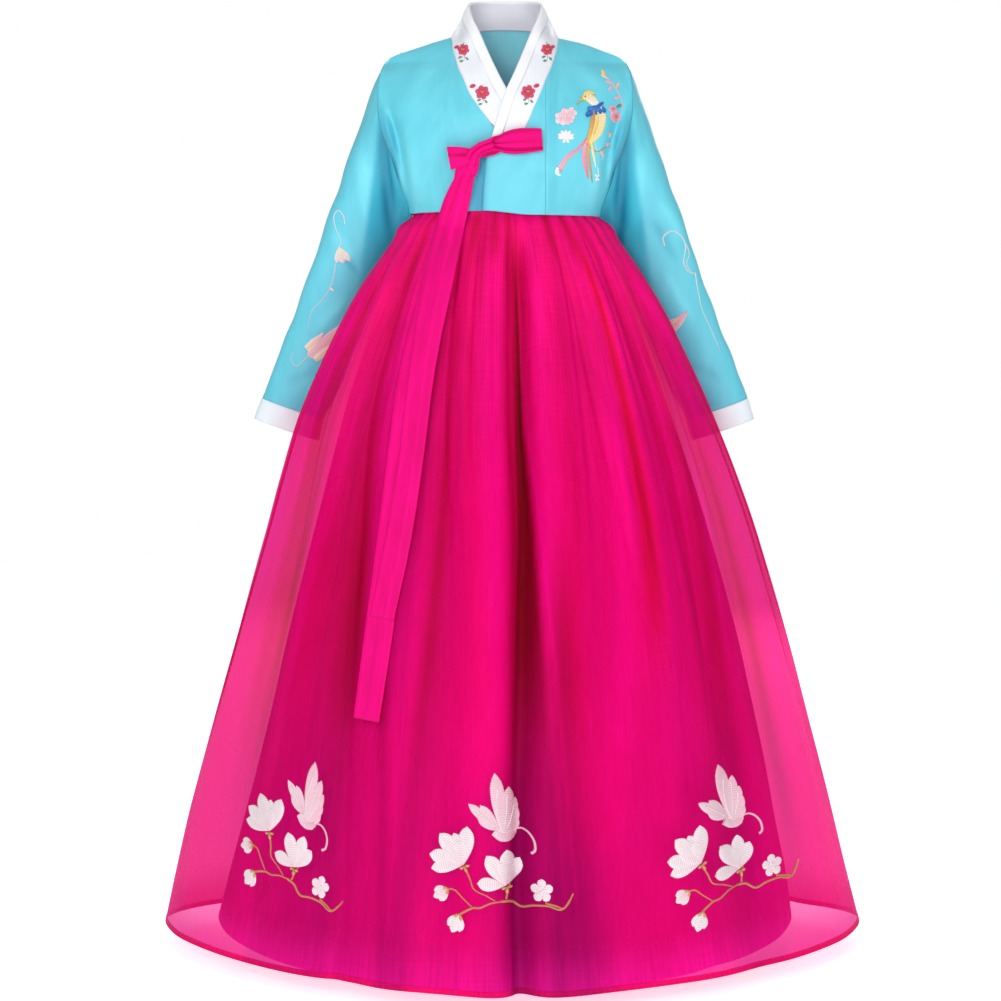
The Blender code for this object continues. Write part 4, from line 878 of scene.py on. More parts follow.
def quads(first, rows, columns, closed, flip):
    """Corner indices, and the grid places that give their UVs, of a grid's faces."""
    spans = columns if closed else columns - 1
    j, i = np.meshgrid(np.arange(rows - 1), np.arange(spans), indexing="ij")
    corners = [(j, i), (j + 1, i), (j + 1, i + 1), (j, i + 1)]
    if flip:
        corners = corners[::-1]
    rows_of = np.stack([c[0] for c in corners], -1).reshape(-1, 4)
    columns_of = np.stack([c[1] for c in corners], -1).reshape(-1, 4)
    return first + rows_of * columns + columns_of % columns, rows_of, columns_of


def turns(count):
    """The angles of the columns of a piece that closes round."""
    return np.linspace(0, 2 * np.pi, count, endpoint=False)[None]


def round_uvs(count, radius):
    """The UVs' first values for the columns of a piece that closes round."""
    return np.linspace(0, 2 * np.pi, count + 1) * radius


def linked(name, data):
    """An object that is in the scene."""
    made = bpy.data.objects.new(name, data)
    bpy.context.scene.collection.objects.link(made)
    return made


def mesh_object(name, points, faces, uvs, look, tints, clears=1.0):
    """An object from arrays: points, four-cornered faces, a UV for each corner, and for each point
    a colour and how clear sheer cloth is there."""
    data = bpy.data.meshes.new(name)
    data.vertices.add(len(points))
    data.vertices.foreach_set("co", points.astype(np.float32).ravel())
    data.loops.add(faces.size)
    data.loops.foreach_set("vertex_index", faces.astype(np.int32).ravel())
    data.polygons.add(len(faces))
    data.polygons.foreach_set("loop_start", np.arange(0, faces.size, 4, dtype=np.int32))
    data.update(calc_edges=True)
    layer = data.uv_layers.new(name="metres")
    layer.data.foreach_set("uv", uvs.astype(np.float32).ravel())
    carried = np.ones((len(tints), 4), np.float32)
    carried[:, :3] = tints
    carried[:, 3] = clears
    colours = data.color_attributes.new(name="tint", type="FLOAT_COLOR", domain="POINT")
    colours.data.foreach_set("color", carried.ravel())
    data.shade_smooth()
    data.materials.append(look)
    data.validate()
    return linked(name, data)


def lapped(grid, closed):
    """The grid with its first column once more behind the last one, if it closes round."""
    return np.concatenate([grid, grid[:, :1]], axis=1) if closed else grid


def rim_faces(rows, columns, closed, flip):
    """Faces from the free edges of a grid to those of the same grid behind it."""
    top, down = np.arange(columns), np.arange(rows) * columns
    hem = top + down[-1]
    if closed:
        loops = [top, hem[::-1]]
    else:
        edges = [top[::-1], down, hem, down[::-1] + columns - 1]
        loops = [np.concatenate([edge[:-1] for edge in edges])]
    near = np.concatenate(loops)
    after = np.concatenate([np.roll(loop, -1) for loop in loops])
    faces = np.stack([near, after, after + rows * columns, near + rows * columns], -1)
    return faces if flip else faces[:, ::-1]


def cloth(name, grid, look, out, wall=0.0, closed=False, across=None, tone=1.0, far_tone=1.0,
          clear=1.0):
    """A sheet through a grid of points. With a wall it is a thin closed shell between the grid and the
    same points moved against out. across gives the UVs' first value for each column, tone what the
    look's colour is multiplied by at each point, mostly painted shade and painted highlight, and clear
    how see-through a sheet without a wall is there."""
    rows, columns = grid.shape[:2]
    tints = np.broadcast_to(tone, (rows, columns, 3)).reshape(-1, 3)
    clears = np.broadcast_to(clear, (rows, columns)).ravel()
    lap = lapped(grid, closed)
    u = along_lengths(lap, 1) if across is None else np.broadcast_to(across, lap.shape[:2])
    flat = np.stack([u, along_lengths(lap, 0)], -1)
    flip = np.sum(normals(grid, closed) * out) < 0
    faces, rows_of, columns_of = quads(0, rows, columns, closed, flip)
    uvs = flat[rows_of, columns_of]
    points = grid.reshape(-1, 3)
    if wall:
        far_faces, _, _ = quads(len(points), rows, columns, closed, not flip)
        rims = rim_faces(rows, columns, closed, flip)
        rim_uvs = flat[:, :columns].reshape(-1, 2)[rims % len(points)]
        faces = np.concatenate([faces, far_faces, rims])
        uvs = np.concatenate([uvs, uvs[:, ::-1], rim_uvs])
        points = np.concatenate([points, (grid - out * wall).reshape(-1, 3)])
        tints = np.concatenate([tints, tints * far_tone])
        clears = 1.0
    return mesh_object(name, points, faces, uvs, look, tints, clears)


made_pieces = {}  # the cloth pieces, by the names of the solids that they stand for


def sewn(name, grid, look, slot, held, out, wall, closed=False, rests_on=(), taken_up=1.0, **more):
    """A cloth piece that stands for the solid of its name. taken_up, what gathers take up, is not used."""
    made = cloth(name, grid, look, out, wall, closed, **more)
    made_pieces[name] = made
    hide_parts(name)


# ---- The jacket's surface --------------------------------------------------------------

def jacket_y(side, x, z):
    """Depth of the jacket's outer face: side is -1 for the front and +1 for the back."""
    reach = np.abs(x)
    inside = np.maximum(0.0, 1 - np.minimum(reach / armhole.x(z), 1.0) ** PANEL_ROUNDNESS)
    across = inside ** (1 / armhole.corner(z))
    if side < 0:
        top_y, top_z, full = 0.0, shoulder.z(reach), body.front(z)
    else:
        off_neck = np.maximum(0.0, 1 - (reach / NECK_HALF_WIDTH) ** 2)
        top_y, full = NECK_BACK * np.sqrt(off_neck), body.back(z)
        top_z = np.where(off_neck > 0, back_neck.z(reach), shoulder.z(reach))
    below = np.clip((top_z - z) / DOME, 0.0, 1.0)
    dome = (1 - (1 - below) ** 2) ** (1 / DOME_ROUNDNESS)
    depth = armhole.y(z) * (1 - across) + (top_y + (full - top_y) * dome) * across
    return side * (depth - armhole.valley(z) * bell(reach - armhole.valley_x(z), VALLEY_WIDTH))


def overlap_lift(x):
    """How far the left front stands out, over the right front."""
    gusset_x = COLLAR_LEFT[GUSSET_STATION].outer_x
    return OVERLAP_LIFT * ease((NECK_HALF_WIDTH - x) / (NECK_HALF_WIDTH - gusset_x))


def jacket_hem(x):
    """Height of the hem round the back and both sides."""
    side_x = ARMHOLE[-1].x
    return mix(HEM_RIGHT, HEM_LEFT, (x + side_x) / (2 * side_x))


def left_front_hem(x):
    """The overlapping hem: a little higher at its free edge, and down to the side seam's height."""
    run = NECK_HALF_WIDTH / 2 - OVERLAP_HEM_X
    return mix(HEM_OVERLAP, HEM_LEFT, ease((x - OVERLAP_HEM_X) / run))


def right_front_hem(x):
    """The right front's hem, hidden past the overlap."""
    return mix(HEM_OVERLAP, HEM_RIGHT, ease(-x / ARMHOLE[-1].x))


# ---- Jacket panels ---------------------------------------------------------------------

# A column of a panel: where it starts, where it meets the hem, and how much of the armhole's
# curve it follows.
Column = namedtuple("Column", "top_x top_z hem_x follows")
SHOULDER_SPANS = 9  # columns from the neck point out to the armhole
SHOULDER_CROWDING = 0.85  # below 1, they crowd towards it
BACK_NECK_XS = (-0.069, -0.056, -0.04, -0.02, 0.0, 0.02, 0.04, 0.056, 0.069)


def outer_columns(sign):
    """A panel's columns from the neck point to the armhole, on the wearer's left for sign 1."""
    seam_x, hem_x = ARMHOLE[0].x, ARMHOLE[-1].x
    made = []
    for share in np.linspace(0, 1, SHOULDER_SPANS) ** SHOULDER_CROWDING:
        top_x, low_x = mix(NECK_HALF_WIDTH, np.array([seam_x, hem_x]), share)
        made.append(Column(sign * top_x, shoulder.z(top_x), sign * low_x, share))
    return made


def collar_columns(stations):
    """Columns that start where the collar's outer edge lies."""
    return [Column(s.outer_x, s.outer_z, 0.0, 0.0) for s in reversed(stations)]


def spread_hems(columns, first_hem_x):
    """The same columns with their hem ends spread from first_hem_x to the last one."""
    last_hem_x = columns[-1].hem_x
    shares = np.sin(np.linspace(0, np.pi / 2, len(columns))) ** HEM_CROWDING
    return [c._replace(hem_x=mix(first_hem_x, last_hem_x, s)) for c, s in zip(columns, shares)]


def panel(side, columns, hem_of, lift=0.0):
    """A fine grid of points on the jacket, row by row from the top to the hem."""
    table = np.array(columns)
    index = np.arange(len(columns))
    fine = np.linspace(0, index[-1], index[-1] * COLUMN_SPLITS + 1)
    top_x, top_z, hem_x, follows = [Curve(index, table[:, k])(fine)[None] for k in range(4)]
    hem_z = hem_of(hem_x)
    turn = np.linspace(0, np.pi, PANEL_STEPS + 1)[:, None]
    z = mix(top_z, UNDERARM_Z, (1 - np.cos(turn)) / 2)
    below = np.linspace(0, 1, HEM_STEPS + 1)[1:, None]
    z = np.concatenate([z, mix(UNDERARM_Z, hem_z, below)])
    way = ease((top_z - z) / (top_z - hem_z))
    sign = np.where(hem_x > 0, 1, -1)
    straight = mix(armhole.x(top_z), armhole.x(hem_z), way)
    x = mix(top_x, hem_x, way) + sign * follows * (armhole.x(z) - straight)
    y = jacket_y(side, x, z) - lift * overlap_lift(x)
    return np.stack([x, y, z], -1)


def near_edges(grid, edges, width):
    """1 at the named edges of a grid, falling to 0 over width."""
    across, down = along_lengths(grid, 1), along_lengths(grid, 0)
    off = {"first": across, "last": across[:, -1:] - across, "top": down, "hem": down[-1:] - down}
    return sum(bell(off[edge], width) for edge in edges)


def rolled(grid, out, edges, turned=TURNED):
    """The grid with the named edges turned in a little, as a sewn edge is."""
    depth, width = turned
    return grid - out * (near_edges(grid, edges, width) * depth)[..., None]


def edged(grid, edges, light, width):
    """What the colour is multiplied by: lighter along the named edges, or darker below zero."""
    return (1 + light * near_edges(grid, edges, width))[..., None]


def soft(grid, out, swells=SWELLS):
    """The grid with faint swells: two sets of waves that cross, in radians a metre."""
    x, y, z = np.moveaxis(grid, 2, 0)
    swell = np.sin(61 * x + 23 * z + 2.1 * np.sin(31 * z + 9 * y)) + np.sin(83 * z - 37 * x + 19 * y)
    return grid + out * (swells * swell)[..., None]


def creased(grid, out, creases, side):
    """The grid with the creases of one side pressed into it, and their heights."""
    x, z = grid[..., 0], grid[..., 2]
    height = np.zeros_like(x)
    for crease in creases:
        run_x, run_z = crease.x1 - crease.x0, crease.z1 - crease.z0
        length = math.hypot(run_x, run_z)
        along = ((x - crease.x0) * run_x + (z - crease.z0) * run_z) / length ** 2
        off = ((x - crease.x0) * run_z - (z - crease.z0) * run_x) / length
        ends = ease(along / CREASE_END) * ease((1 - along) / CREASE_END)
        height += crease.depth * bell(off, crease.width) * ends
    height *= ease((out[..., 1] * side + CREASE_TURN) / CREASE_TURN_RUN)
    return grid + out * height[..., None], height


def painted_crease_shade(height):
    """Painted shade: satin is darker in a trough, with a little painted highlight on a ridge."""
    return 1 + np.clip(height / CREASE_FULL, *CREASE_TONES)[..., None] * CREASE_SHADE


def shadowed(grid, rows, colour, width, way):
    """What a shadow multiplies the jacket's colour by. It lies outside its edge where way is 1, and
    inside it where way is -1."""
    shadow = curves(rows)
    x, z = np.abs(grid[..., 0]), grid[..., 2]
    within = ease(way * (x - shadow.edge_x(z)) / width + 0.5)
    return np.maximum(1 - (shadow.dark(z) * within)[..., None] * colour, DARKEST)


def painted_overlap_shadow(grid):
    """Painted shadow: the right front is darker beside the left one, which lies over it."""
    across, down = OVERLAP_SHADE_SOFT
    near = ease((grid[..., 0] - OVERLAP_SHADE_X) / across + 0.5)
    near = near * ease((OVERLAP_SHADE_TOP - grid[..., 2]) / down)
    return 1 - near[..., None] * OVERLAP_SHADE


def jacket_panel(name, side, columns, hem_of, edges, seams=(), lift=0.0):
    """A panel with turned edges, and flat seams where it joins the next one."""
    grid = panel(side, columns, hem_of, lift)
    facing = np.array([0, side, 0])
    out = outward(normals(grid), facing)
    grid, height = creased(soft(grid, out), out, FRONT_CREASES if side < 0 else BACK_CREASES, side)
    tone = painted_crease_shade(height) * edged(grid, edges, EDGE_PAINTED_HIGHLIGHT, EDGE_SEEN)
    if seams:
        grid = rolled(grid, out, seams, SEAM_TURNED)
        tone = tone * edged(grid, seams, -SEAM_DARK, EDGE_SEEN)
    tone = tone * shadowed(grid, SIDE_SHADES, SIDE_SHADE, SIDE_SHADE_SOFT, 1)
    if hem_of is right_front_hem:
        tone = tone * painted_overlap_shadow(grid)
    grid = rolled(grid, out, edges)
    sewn(name, grid, SATIN, "jacket_satin", "hung", outward(normals(grid), facing), WALL,
         tone=tone, far_tone=LINED if side < 0 else BACK_INSIDE_PAINTED_LIGHT)


def build_panels():
    """The jacket's body: two fronts, the left one's overlap gusset, and the back."""
    left_inner = collar_columns(COLLAR_LEFT[:GUSSET_STATION + 1])
    left = spread_hems(left_inner + outer_columns(1), COLLAR_LEFT[GUSSET_STATION].outer_x)
    end = COLLAR_RIGHT[-1]
    hidden = [Column(x, end.inner_z, 0.0, 0.0) for x in (UNDER_EDGE_X, end.inner_x)]
    right = spread_hems(hidden + collar_columns(COLLAR_RIGHT) + outer_columns(-1), UNDER_EDGE_X)
    end = COLLAR_LEFT[-1]
    gusset = [Column(OVERLAP_TOP_X, end.inner_z - OVERLAP_TOP_DROP, 0.0, 0.0),
              Column(end.inner_x, end.inner_z, 0.0, 0.0)]
    gusset += collar_columns(COLLAR_LEFT[GUSSET_STATION:])
    seam_x = COLLAR_LEFT[GUSSET_STATION].outer_x
    hems = np.linspace(OVERLAP_HEM_X, seam_x, len(gusset))
    gusset = [c._replace(hem_x=x) for c, x in zip(gusset, hems)]
    neck = [Column(x, float(back_neck.z(abs(x))), x, 0.0) for x in BACK_NECK_XS]
    back = outer_columns(-1)[::-1] + neck + outer_columns(1)
    jacket_panel("jeogori_front_left", -1, left, left_front_hem, ("hem",), ("first", "last"), 1.0)
    jacket_panel("jeogori_front_right", -1, right, right_front_hem, ("hem",), ("last",))
    jacket_panel("seop_left", -1, gusset, left_front_hem, ("first", "hem"), ("last",), 1.0)
    jacket_panel("jeogori_back", 1, back, jacket_hem, ("hem",), ("first", "last"))


# ---- Sleeves ---------------------------------------------------------------------------

def armhole_loop(sign):
    """The armhole's points, down its front and up its back."""
    seam = Column(sign * ARMHOLE[0].x, ARMHOLE[0].z, sign * ARMHOLE[-1].x, 1.0)
    front_hem = left_front_hem if sign > 0 else right_front_hem
    front = panel(-1, [seam, seam], front_hem)[:PANEL_STEPS + 1, 0]
    back = panel(1, [seam, seam], jacket_hem)[:PANEL_STEPS + 1, 0]
    return np.concatenate([front, back[-2:0:-1]])


def sleeve_rings(sign):
    """Rings from the armhole to the cuff's end. The first follows the armhole."""
    table = smooth(np.array(SLEEVE_RINGS), RING_SPLITS)[:, None]
    mirror = np.array([sign, 1, 1])
    outer, inner = table[..., 0:3] * mirror, table[..., 3:6] * mirror
    turn = turns(2 * PANEL_STEPS)[..., None]
    forward = table[..., 6:7] * FRONT
    sections = (outer + inner) / 2 + (outer - inner) / 2 * np.cos(turn) + forward * np.sin(turn)
    follows = np.clip(table[..., 7:8], 0, 1)
    return sections + (armhole_loop(sign)[None] - sections[:1]) * follows


def build_sleeve(side_name, sign):
    """A sleeve and its cuff, cut from one run of rings, on the wearer's left for sign 1."""
    grid = sleeve_rings(sign)
    out = outward(normals(grid, True), grid - grid.mean(axis=1, keepdims=True))
    grid = soft(grid, out, SLEEVE_SWELLS)
    grid, front_height = creased(grid, out, SLEEVE_FRONT_CREASES[sign], -1)
    grid, back_height = creased(grid, out, SLEEVE_BACK_CREASES[sign], 1)
    cuff_at = (len(SLEEVE_RINGS) - 2) * RING_SPLITS
    length = along_lengths(grid, 0)
    tuck = bell(length - length[cuff_at] + CUFF_TUCK, CUFF_TUCK_WIDTH) * CUFF_TUCK_DEPTH
    grid = grid - out * tuck[..., None]
    tone = painted_crease_shade(front_height + back_height - tuck)
    tone = tone * shadowed(grid, ARM_SHADES, ARM_SHADE, ARM_SHADE_SOFT, -1)
    sleeve_out = outward(normals(grid, True), out)
    across = round_uvs(2 * PANEL_STEPS, SLEEVE_UV_RADIUS)
    for piece, rings, look, slot, proud in (
            ("sleeve", slice(0, cuff_at + 1), SATIN, "jacket_satin", 0.0),
            ("cuff", slice(cuff_at, None), CUFF, "cuff_satin", CUFF_PROUD)):
        part, part_out = grid[rings], sleeve_out[rings]
        part = rolled(part + part_out * proud, part_out, ("top", "hem"), SLEEVE_TURNED)
        sewn(f"{piece}_{side_name}", part, look, slot, "hung", part_out, WALL, True, across=across,
             tone=tone[rings], far_tone=LINED)


# ---- Collar ----------------------------------------------------------------------------

def collar_rows():
    """Rows across the collar, from the right front's hidden end round the neck to the left front's
    end. Each row runs from the inner edge to the outer edge."""
    mirrored = [Station(-s.inner_x, s.depth, s.inner_z, -s.outer_x, s.outer_z) for s in COLLAR_BACK[1:]]
    stations = [(s, -1) for s in reversed(COLLAR_RIGHT)]
    stations += [(s, 1) for s in reversed(mirrored)] + [(s, 1) for s in COLLAR_BACK]
    stations += [(s, -1) for s in COLLAR_LEFT]
    left_from = len(stations) - len(COLLAR_LEFT)
    share = np.linspace(0, 1, COLLAR_SPANS + 1)
    rows = []
    for index, (s, side) in enumerate(stations):
        lift = overlap_lift(s.outer_x) if index >= left_from else 0.0
        inner_y = jacket_y(-1, s.inner_x, s.inner_z) if s.depth is None else s.depth
        inner = np.array([s.inner_x, inner_y - lift, s.inner_z])
        outer = np.array([s.outer_x, jacket_y(side, s.outer_x, s.outer_z) - lift, s.outer_z])
        row = mix(inner, outer, share[:, None])
        if side < 0:
            ends = jacket_y(-1, row[[0, -1], 0], row[[0, -1], 2])
            row[:, 1] += jacket_y(-1, row[:, 0], row[:, 2]) - mix(ends[0], ends[1], share)
        rows.append(row)
    return smooth(np.array(rows), COLLAR_SPLITS)


def build_collar():
    """The collar band, and the narrow strip that is basted onto it along its inner edge."""
    grid = collar_rows()
    out = normals(grid)
    middle = len(grid) // 2
    if out[middle, 0, 1] < 0:
        out = -out
    share = np.linspace(0, 1, COLLAR_SPANS + 1)[None, :, None]
    band = grid + out * (COLLAR_PROUD * ease(share / COLLAR_PROUD_RUN))
    band = rolled(soft(band, out, COLLAR_SWELLS), out, ("top", "hem", "last"), COLLAR_TURNED)
    # Painted light: the collar is paler behind the neck.
    behind = ease(grid[..., 1] / COLLAR_BEHIND_RUN)[..., None]
    tone = edged(band, ("hem",), -COLLAR_EDGE_DARK, COLLAR_EDGE_SEEN) + COLLAR_BEHIND_PAINTED_LIGHT * behind
    sewn("collar_band", band, COLLAR, "collar_satin", "folded", out, WALL + COLLAR_PROUD, tone=tone)
    count = round(STRIP_SHARE * COLLAR_SPANS) + 1
    strip, strip_out = grid[:, :count], out[:, :count]
    strip = strip + strip_out * (COLLAR_PROUD + STRIP_WALL)
    strip = rolled(strip, strip_out, ("first", "last", "top", "hem"), STRIP_TURNED)
    tone = edged(strip, ("last",), -STRIP_EDGE_DARK, COLLAR_EDGE_SEEN)
    sewn("collar_strip", strip, STRIP, "collar_strip", "folded", strip_out, STRIP_WALL,
         rests_on=["collar_band"], tone=tone)


# ---- Skirt -----------------------------------------------------------------------------

def plan_point(sections, angle, z):
    """Points of a skirt's plain section and the directions out of it. The angle is in radians from
    the front centre towards the wearer's left."""
    half_width, square = sections.half_width(z), sections.square(z)
    across, forward = np.sin(angle), np.cos(angle)
    reach = np.where(forward > 0, sections.front(z), sections.back(z))
    u = np.sign(across) * np.abs(across) ** (2 / square)
    v = np.sign(forward) * np.abs(forward) ** (2 / square)
    point = np.stack([sections.lean(z) + half_width * u, -reach * v, z + 0 * u], -1)
    out = np.stack([np.sign(u) * np.abs(u) ** (square - 1) / half_width,
                    -np.sign(v) * np.abs(v) ** (square - 1) / reach, 0 * u], -1)
    return point, out / np.linalg.norm(out, axis=-1, keepdims=True)


def beside(row, angle, z):
    """How far down a fold or a shade a place lies, and how many degrees off its middle."""
    way = ease((row.start - z) / (row.start - SHELL_RINGS[-1]))
    off = np.degrees(angle) - mix(row.waist_angle, row.hem_angle, way)
    return way, (off + 180) % 360 - 180


def folds(rows, angle, z):
    """Height of a table's folds, outward."""
    height = 0.0
    for fold in rows:
        _, off = beside(fold, angle, z)
        grown = ease((fold.start - z) / FOLD_RISE) * ease((z - fold.end + FOLD_FALL) / FOLD_FALL)
        height = height + fold.depth * grown * bell(off, fold.width)
    return height


def gathers(angle, z):
    """Height of the small gathers below the band, outward. They are uneven round the waist."""
    turn = GATHERS * angle + GATHER_STRAY * (np.sin(3 * angle + 0.7) + np.sin(7 * angle))
    size = 1 + GATHER_UNEVEN * (np.sin(5 * angle + 1.3) - 1)
    grown = ease((SHELL_RINGS[0] - z) / GATHER_RISE)
    fade = grown * (1 - ease((SHELL_RINGS[2] - z) / GATHER_FADE))
    return GATHER_HEIGHT * size * fade * (0.5 + 0.5 * np.cos(turn))


def shaded(shades, angle, z):
    """How much the rows of a table of shades take from the colour."""
    total = 0.0
    for shade in shades:
        way, off = beside(shade, angle, z)
        grown = ease((shade.start - z) / (shade.start - shade.full))
        left = ease((z - shade.end) / (shade.keep - shade.end))
        width = mix(shade.waist_width, shade.hem_width, way)
        total = total + shade.dark * grown * left * bell(off, width, shade.edge)
    return total


def painted_skirt_shade(angle, z):
    """What the skirt's colours are multiplied by: painted shade in pleats and troughs and where layers
    lie on each other, darker and redder, and at the hem more purple; painted highlights on fold edges
    and ridges."""
    dark = np.clip(-folds(FOLDS, angle, z) / RIDGE_FULL, -RIDGE_LIGHT, RIDGE_DARK)
    light = np.clip(1 - dark - shaded(SHADES, angle, z), *TONE_RANGE)
    blue = light ** mix(PLEAT_RED, PLEAT_PURPLE, ease((PLEAT_TURN - z) / PLEAT_TURN_RUN))
    blue = blue * (1 - shaded(REDS, angle, z))
    return np.stack([light, np.ones_like(light), blue], -1)


def hung(point, angle, rings, longer=0.0):
    """The points lowered by their share of the hem's drop, in front by longer more."""
    forward = np.cos(angle)
    drop = np.where(forward > 0, HEM_DROP_FRONT, HEM_DROP_BACK) * np.abs(forward) ** HEM_DROP_POINT
    drop = drop + longer * ease(forward * LONGER_REACH)
    share = (rings[0] - point[..., 2]) / (rings[0] - rings[-1])
    point[..., 2] -= drop * share ** HEM_DROP_ONSET
    return point


def skirt_grid(sections, rings, heights, count, fold_share, gathered):
    """Points round a skirt at the given heights, the directions out of its plan, and its tone. Only
    the sheer skirt is gathered and puffs out under the jacket. The lining hangs lower in front."""
    angle = turns(count)
    z = heights[:, None]
    point, out = plan_point(sections, angle, z)
    height = (folds(FOLDS, angle, z) + folds(FINE_FOLDS, angle, z)) * fold_share
    if gathered:
        puff = WAIST_PUFF * bell(z - WAIST_PUFF_Z, WAIST_PUFF_WIDTH)
        height = height + gathers(angle, z) + puff * np.sin(angle) ** WAIST_PUFF_POINT
    longer = 0.0 if gathered else LINING_LONGER
    return hung(point + out * height[..., None], angle, rings, longer), out, painted_skirt_shade(angle, z)


def spaced(first, last, count, crowding=1.0):
    """Heights from first to last, closer together at the start where crowding is above 1."""
    return mix(first, last, np.linspace(0, 1, count) ** crowding)


def build_shell():
    """The sheer skirt. It is denser where it is gathered, and at its hem."""
    heights = spaced(SHELL_RINGS[0], SHELL_RINGS[-1], SHELL_ROWS, SHELL_CROWDING)
    grid, out, tone = skirt_grid(shell, SHELL_RINGS, heights, SHELL_FINE, 1.0, True)
    gathered = 1 - ease((CLEAR_FROM - heights) / CLEAR_RUN)[:, None]
    off_hem = ease((heights - SHELL_RINGS[-1]) / CLEAR_HEM_RUN)[:, None]
    clear = mix(1.0, CLEAR_AT_WAIST, gathered) * mix(CLEAR_AT_HEM, 1.0, off_hem)
    tone = tone * mix(1.0, WAIST_RED_AND_PAINTED_LIGHT, gathered[..., None])
    sewn("chima_shell", grid, ORGANZA, "skirt_organza", "gathered", out, 0.0, True, ["chima_band"],
         SHELL_TAKEN_UP, across=round_uvs(SHELL_FINE, SKIRT_UV_RADIUS), tone=tone, clear=clear)


def build_hem():
    """The sheer skirt's narrow rolled hem."""
    heights = spaced(SHELL_RINGS[-1] + ROLLED_HEM, SHELL_RINGS[-1], HEM_ROWS)
    grid, out, tone = skirt_grid(shell, SHELL_RINGS, heights, SHELL_FINE, 1.0, True)
    across = round_uvs(SHELL_FINE, SKIRT_UV_RADIUS)
    hem = cloth("chima_hem", grid + out * HEM_PROUD, HEM, out, HEM_WALL, True, across, tone)


def build_lining():
    """The opaque skirt under the sheer one."""
    heights = spaced(LINING_RINGS[0], LINING_RINGS[-1], LINING_ROWS, LINING_CROWDING)
    grid, out, tone = skirt_grid(lining, LINING_RINGS, heights, LINING_FINE, LINING_FOLD_SHARE, False)
    sewn("chima_lining", grid, LINING, "skirt_lining", "gathered", out, 0.0, True, ["chima_band"],
         LINING_TAKEN_UP, across=round_uvs(LINING_FINE, SKIRT_UV_RADIUS),
         tone=mix(1.0, tone, LINING_TONE))


def build_band():
    """The chest band, which both skirts hang from."""
    z = np.linspace(SHELL_RINGS[0] + SEAM, BAND_TOP, BAND_ROWS)[:, None]
    grid, out = plan_point(shell, turns(BAND_FINE), z)
    grid = rolled(grid, out, ("top", "hem"))
    sewn("chima_band", grid, LINING, "skirt_lining", "hung", out, BAND_WALL, True,
         across=round_uvs(BAND_FINE, SKIRT_UV_RADIUS))


def build_skirt():
    """The two skirts and the band that they hang from."""
    build_shell()
    build_hem()
    build_lining()
    build_band()


# ---- Tie -------------------------------------------------------------------------------

def skirt_front_y(x, z):
    """Depth of the sheer skirt's front, over its highest folds, at a place seen from the front."""
    across = np.minimum(np.abs(x - shell.lean(z)) / shell.half_width(z), DRAPE_REACH)
    plain = shell.front(z) * (1 - across ** shell.square(z)) ** (1 / shell.square(z))
    return -plain - FOLD_ENVELOPE * ease((SHELL_RINGS[2] - z) / FOLD_RISE)


def drape_y(x, z):
    """Depth of what lies foremost at a place: the jacket's overlap, and the skirt below it."""
    jacket = jacket_y(-1, x, np.maximum(z, HEM_RIGHT)) - OVERLAP_LIFT
    skirt = skirt_front_y(x, np.minimum(z, SHELL_RINGS[2]))
    way = ease((HEM_RIGHT - DRAPE_FROM - z) / DRAPE_RUN)
    return np.minimum(mix(jacket, skirt, way), skirt)


def knot_plump(way):
    """The knot's thickness along its length, as a share of its middle's."""
    return mix(KNOT_TAPER, 1.0, np.sin(np.pi * np.clip(way, 0.0, 1.0)))


def knot_under_z(x):
    """Height just below the knot's lower side."""
    way = (x - KNOT_FROM[0]) / (KNOT_TO[0] - KNOT_FROM[0])
    under = KNOT_HALF_HEIGHT * knot_plump(way) * KNOT_UNDER + 2 * SEAM
    return mix(KNOT_FROM[1], KNOT_TO[1], way) - under


def knot_seat_y():
    """Depth of the knot's back, against the jacket's overlap."""
    return jacket_y(-1, KNOT_TO[0], KNOT_TO[1]) - OVERLAP_LIFT - 2 * SEAM


def tail_grid(rows, layer):
    """Points down a tail, from under the knot. Its end is slanted. layer is 1 for the tail that
    lies on the other one."""
    tail = curves(rows)
    top, end = rows[0].z, rows[-1].z
    z = spaced(top, end, TAIL_ROWS)[:, None]
    share = np.linspace(0, 1, TAIL_SPANS + 1)[None]
    x = mix(tail.left(z), tail.right(z), share)
    settled = ease((top - z) / TAIL_SETTLES)
    tilt = (knot_under_z(x) - top) * (1 - settled)
    slant = TAIL_END_SLANT * share * ease((top - z) / (top - end)) ** TAIL_SLANT_ONSET
    place_z = z + tilt - slant
    knot_y = knot_seat_y() - KNOT_HALF_DEPTH
    y = mix(knot_y + WALL + SEAM, drape_y(x, place_z) - TAIL_CLEARANCE, settled)
    y = y - layer * mix(WALL + 2 * SEAM, TAIL_LAYER, settled) - WALL
    return np.stack([x, y, place_z], -1)


def tie_piece(name, grid, out, wall, held, closed=False, tone=1.0):
    """A piece of the ribbon, which rests on the left front."""
    sewn(name, grid, RIBBON, "tie_ribbon", held, out, wall, closed, ["seop_left"], tone=tone)


def painted_pleat_shade(height):
    """Painted shade: the ribbon is darker in its pleats, with a little painted highlight on their
    ridges.
    """
    return 1 + np.clip(height / PLEAT_FULL, *PLEAT_TONES)[..., None] * PLEAT_SHADE


def pleated(pleats, share, way, fading):
    """Height of a ribbon's pleats. way moves them across it, and fading(pleat) lowers them."""
    height = 0.0
    for pleat in pleats:
        off = share - mix(pleat.top_share, pleat.end_share, way)
        kept = mix(1.0, pleat.kept, fading(pleat))
        height = height + pleat.height * kept * bell(off, pleat.width)
    return height


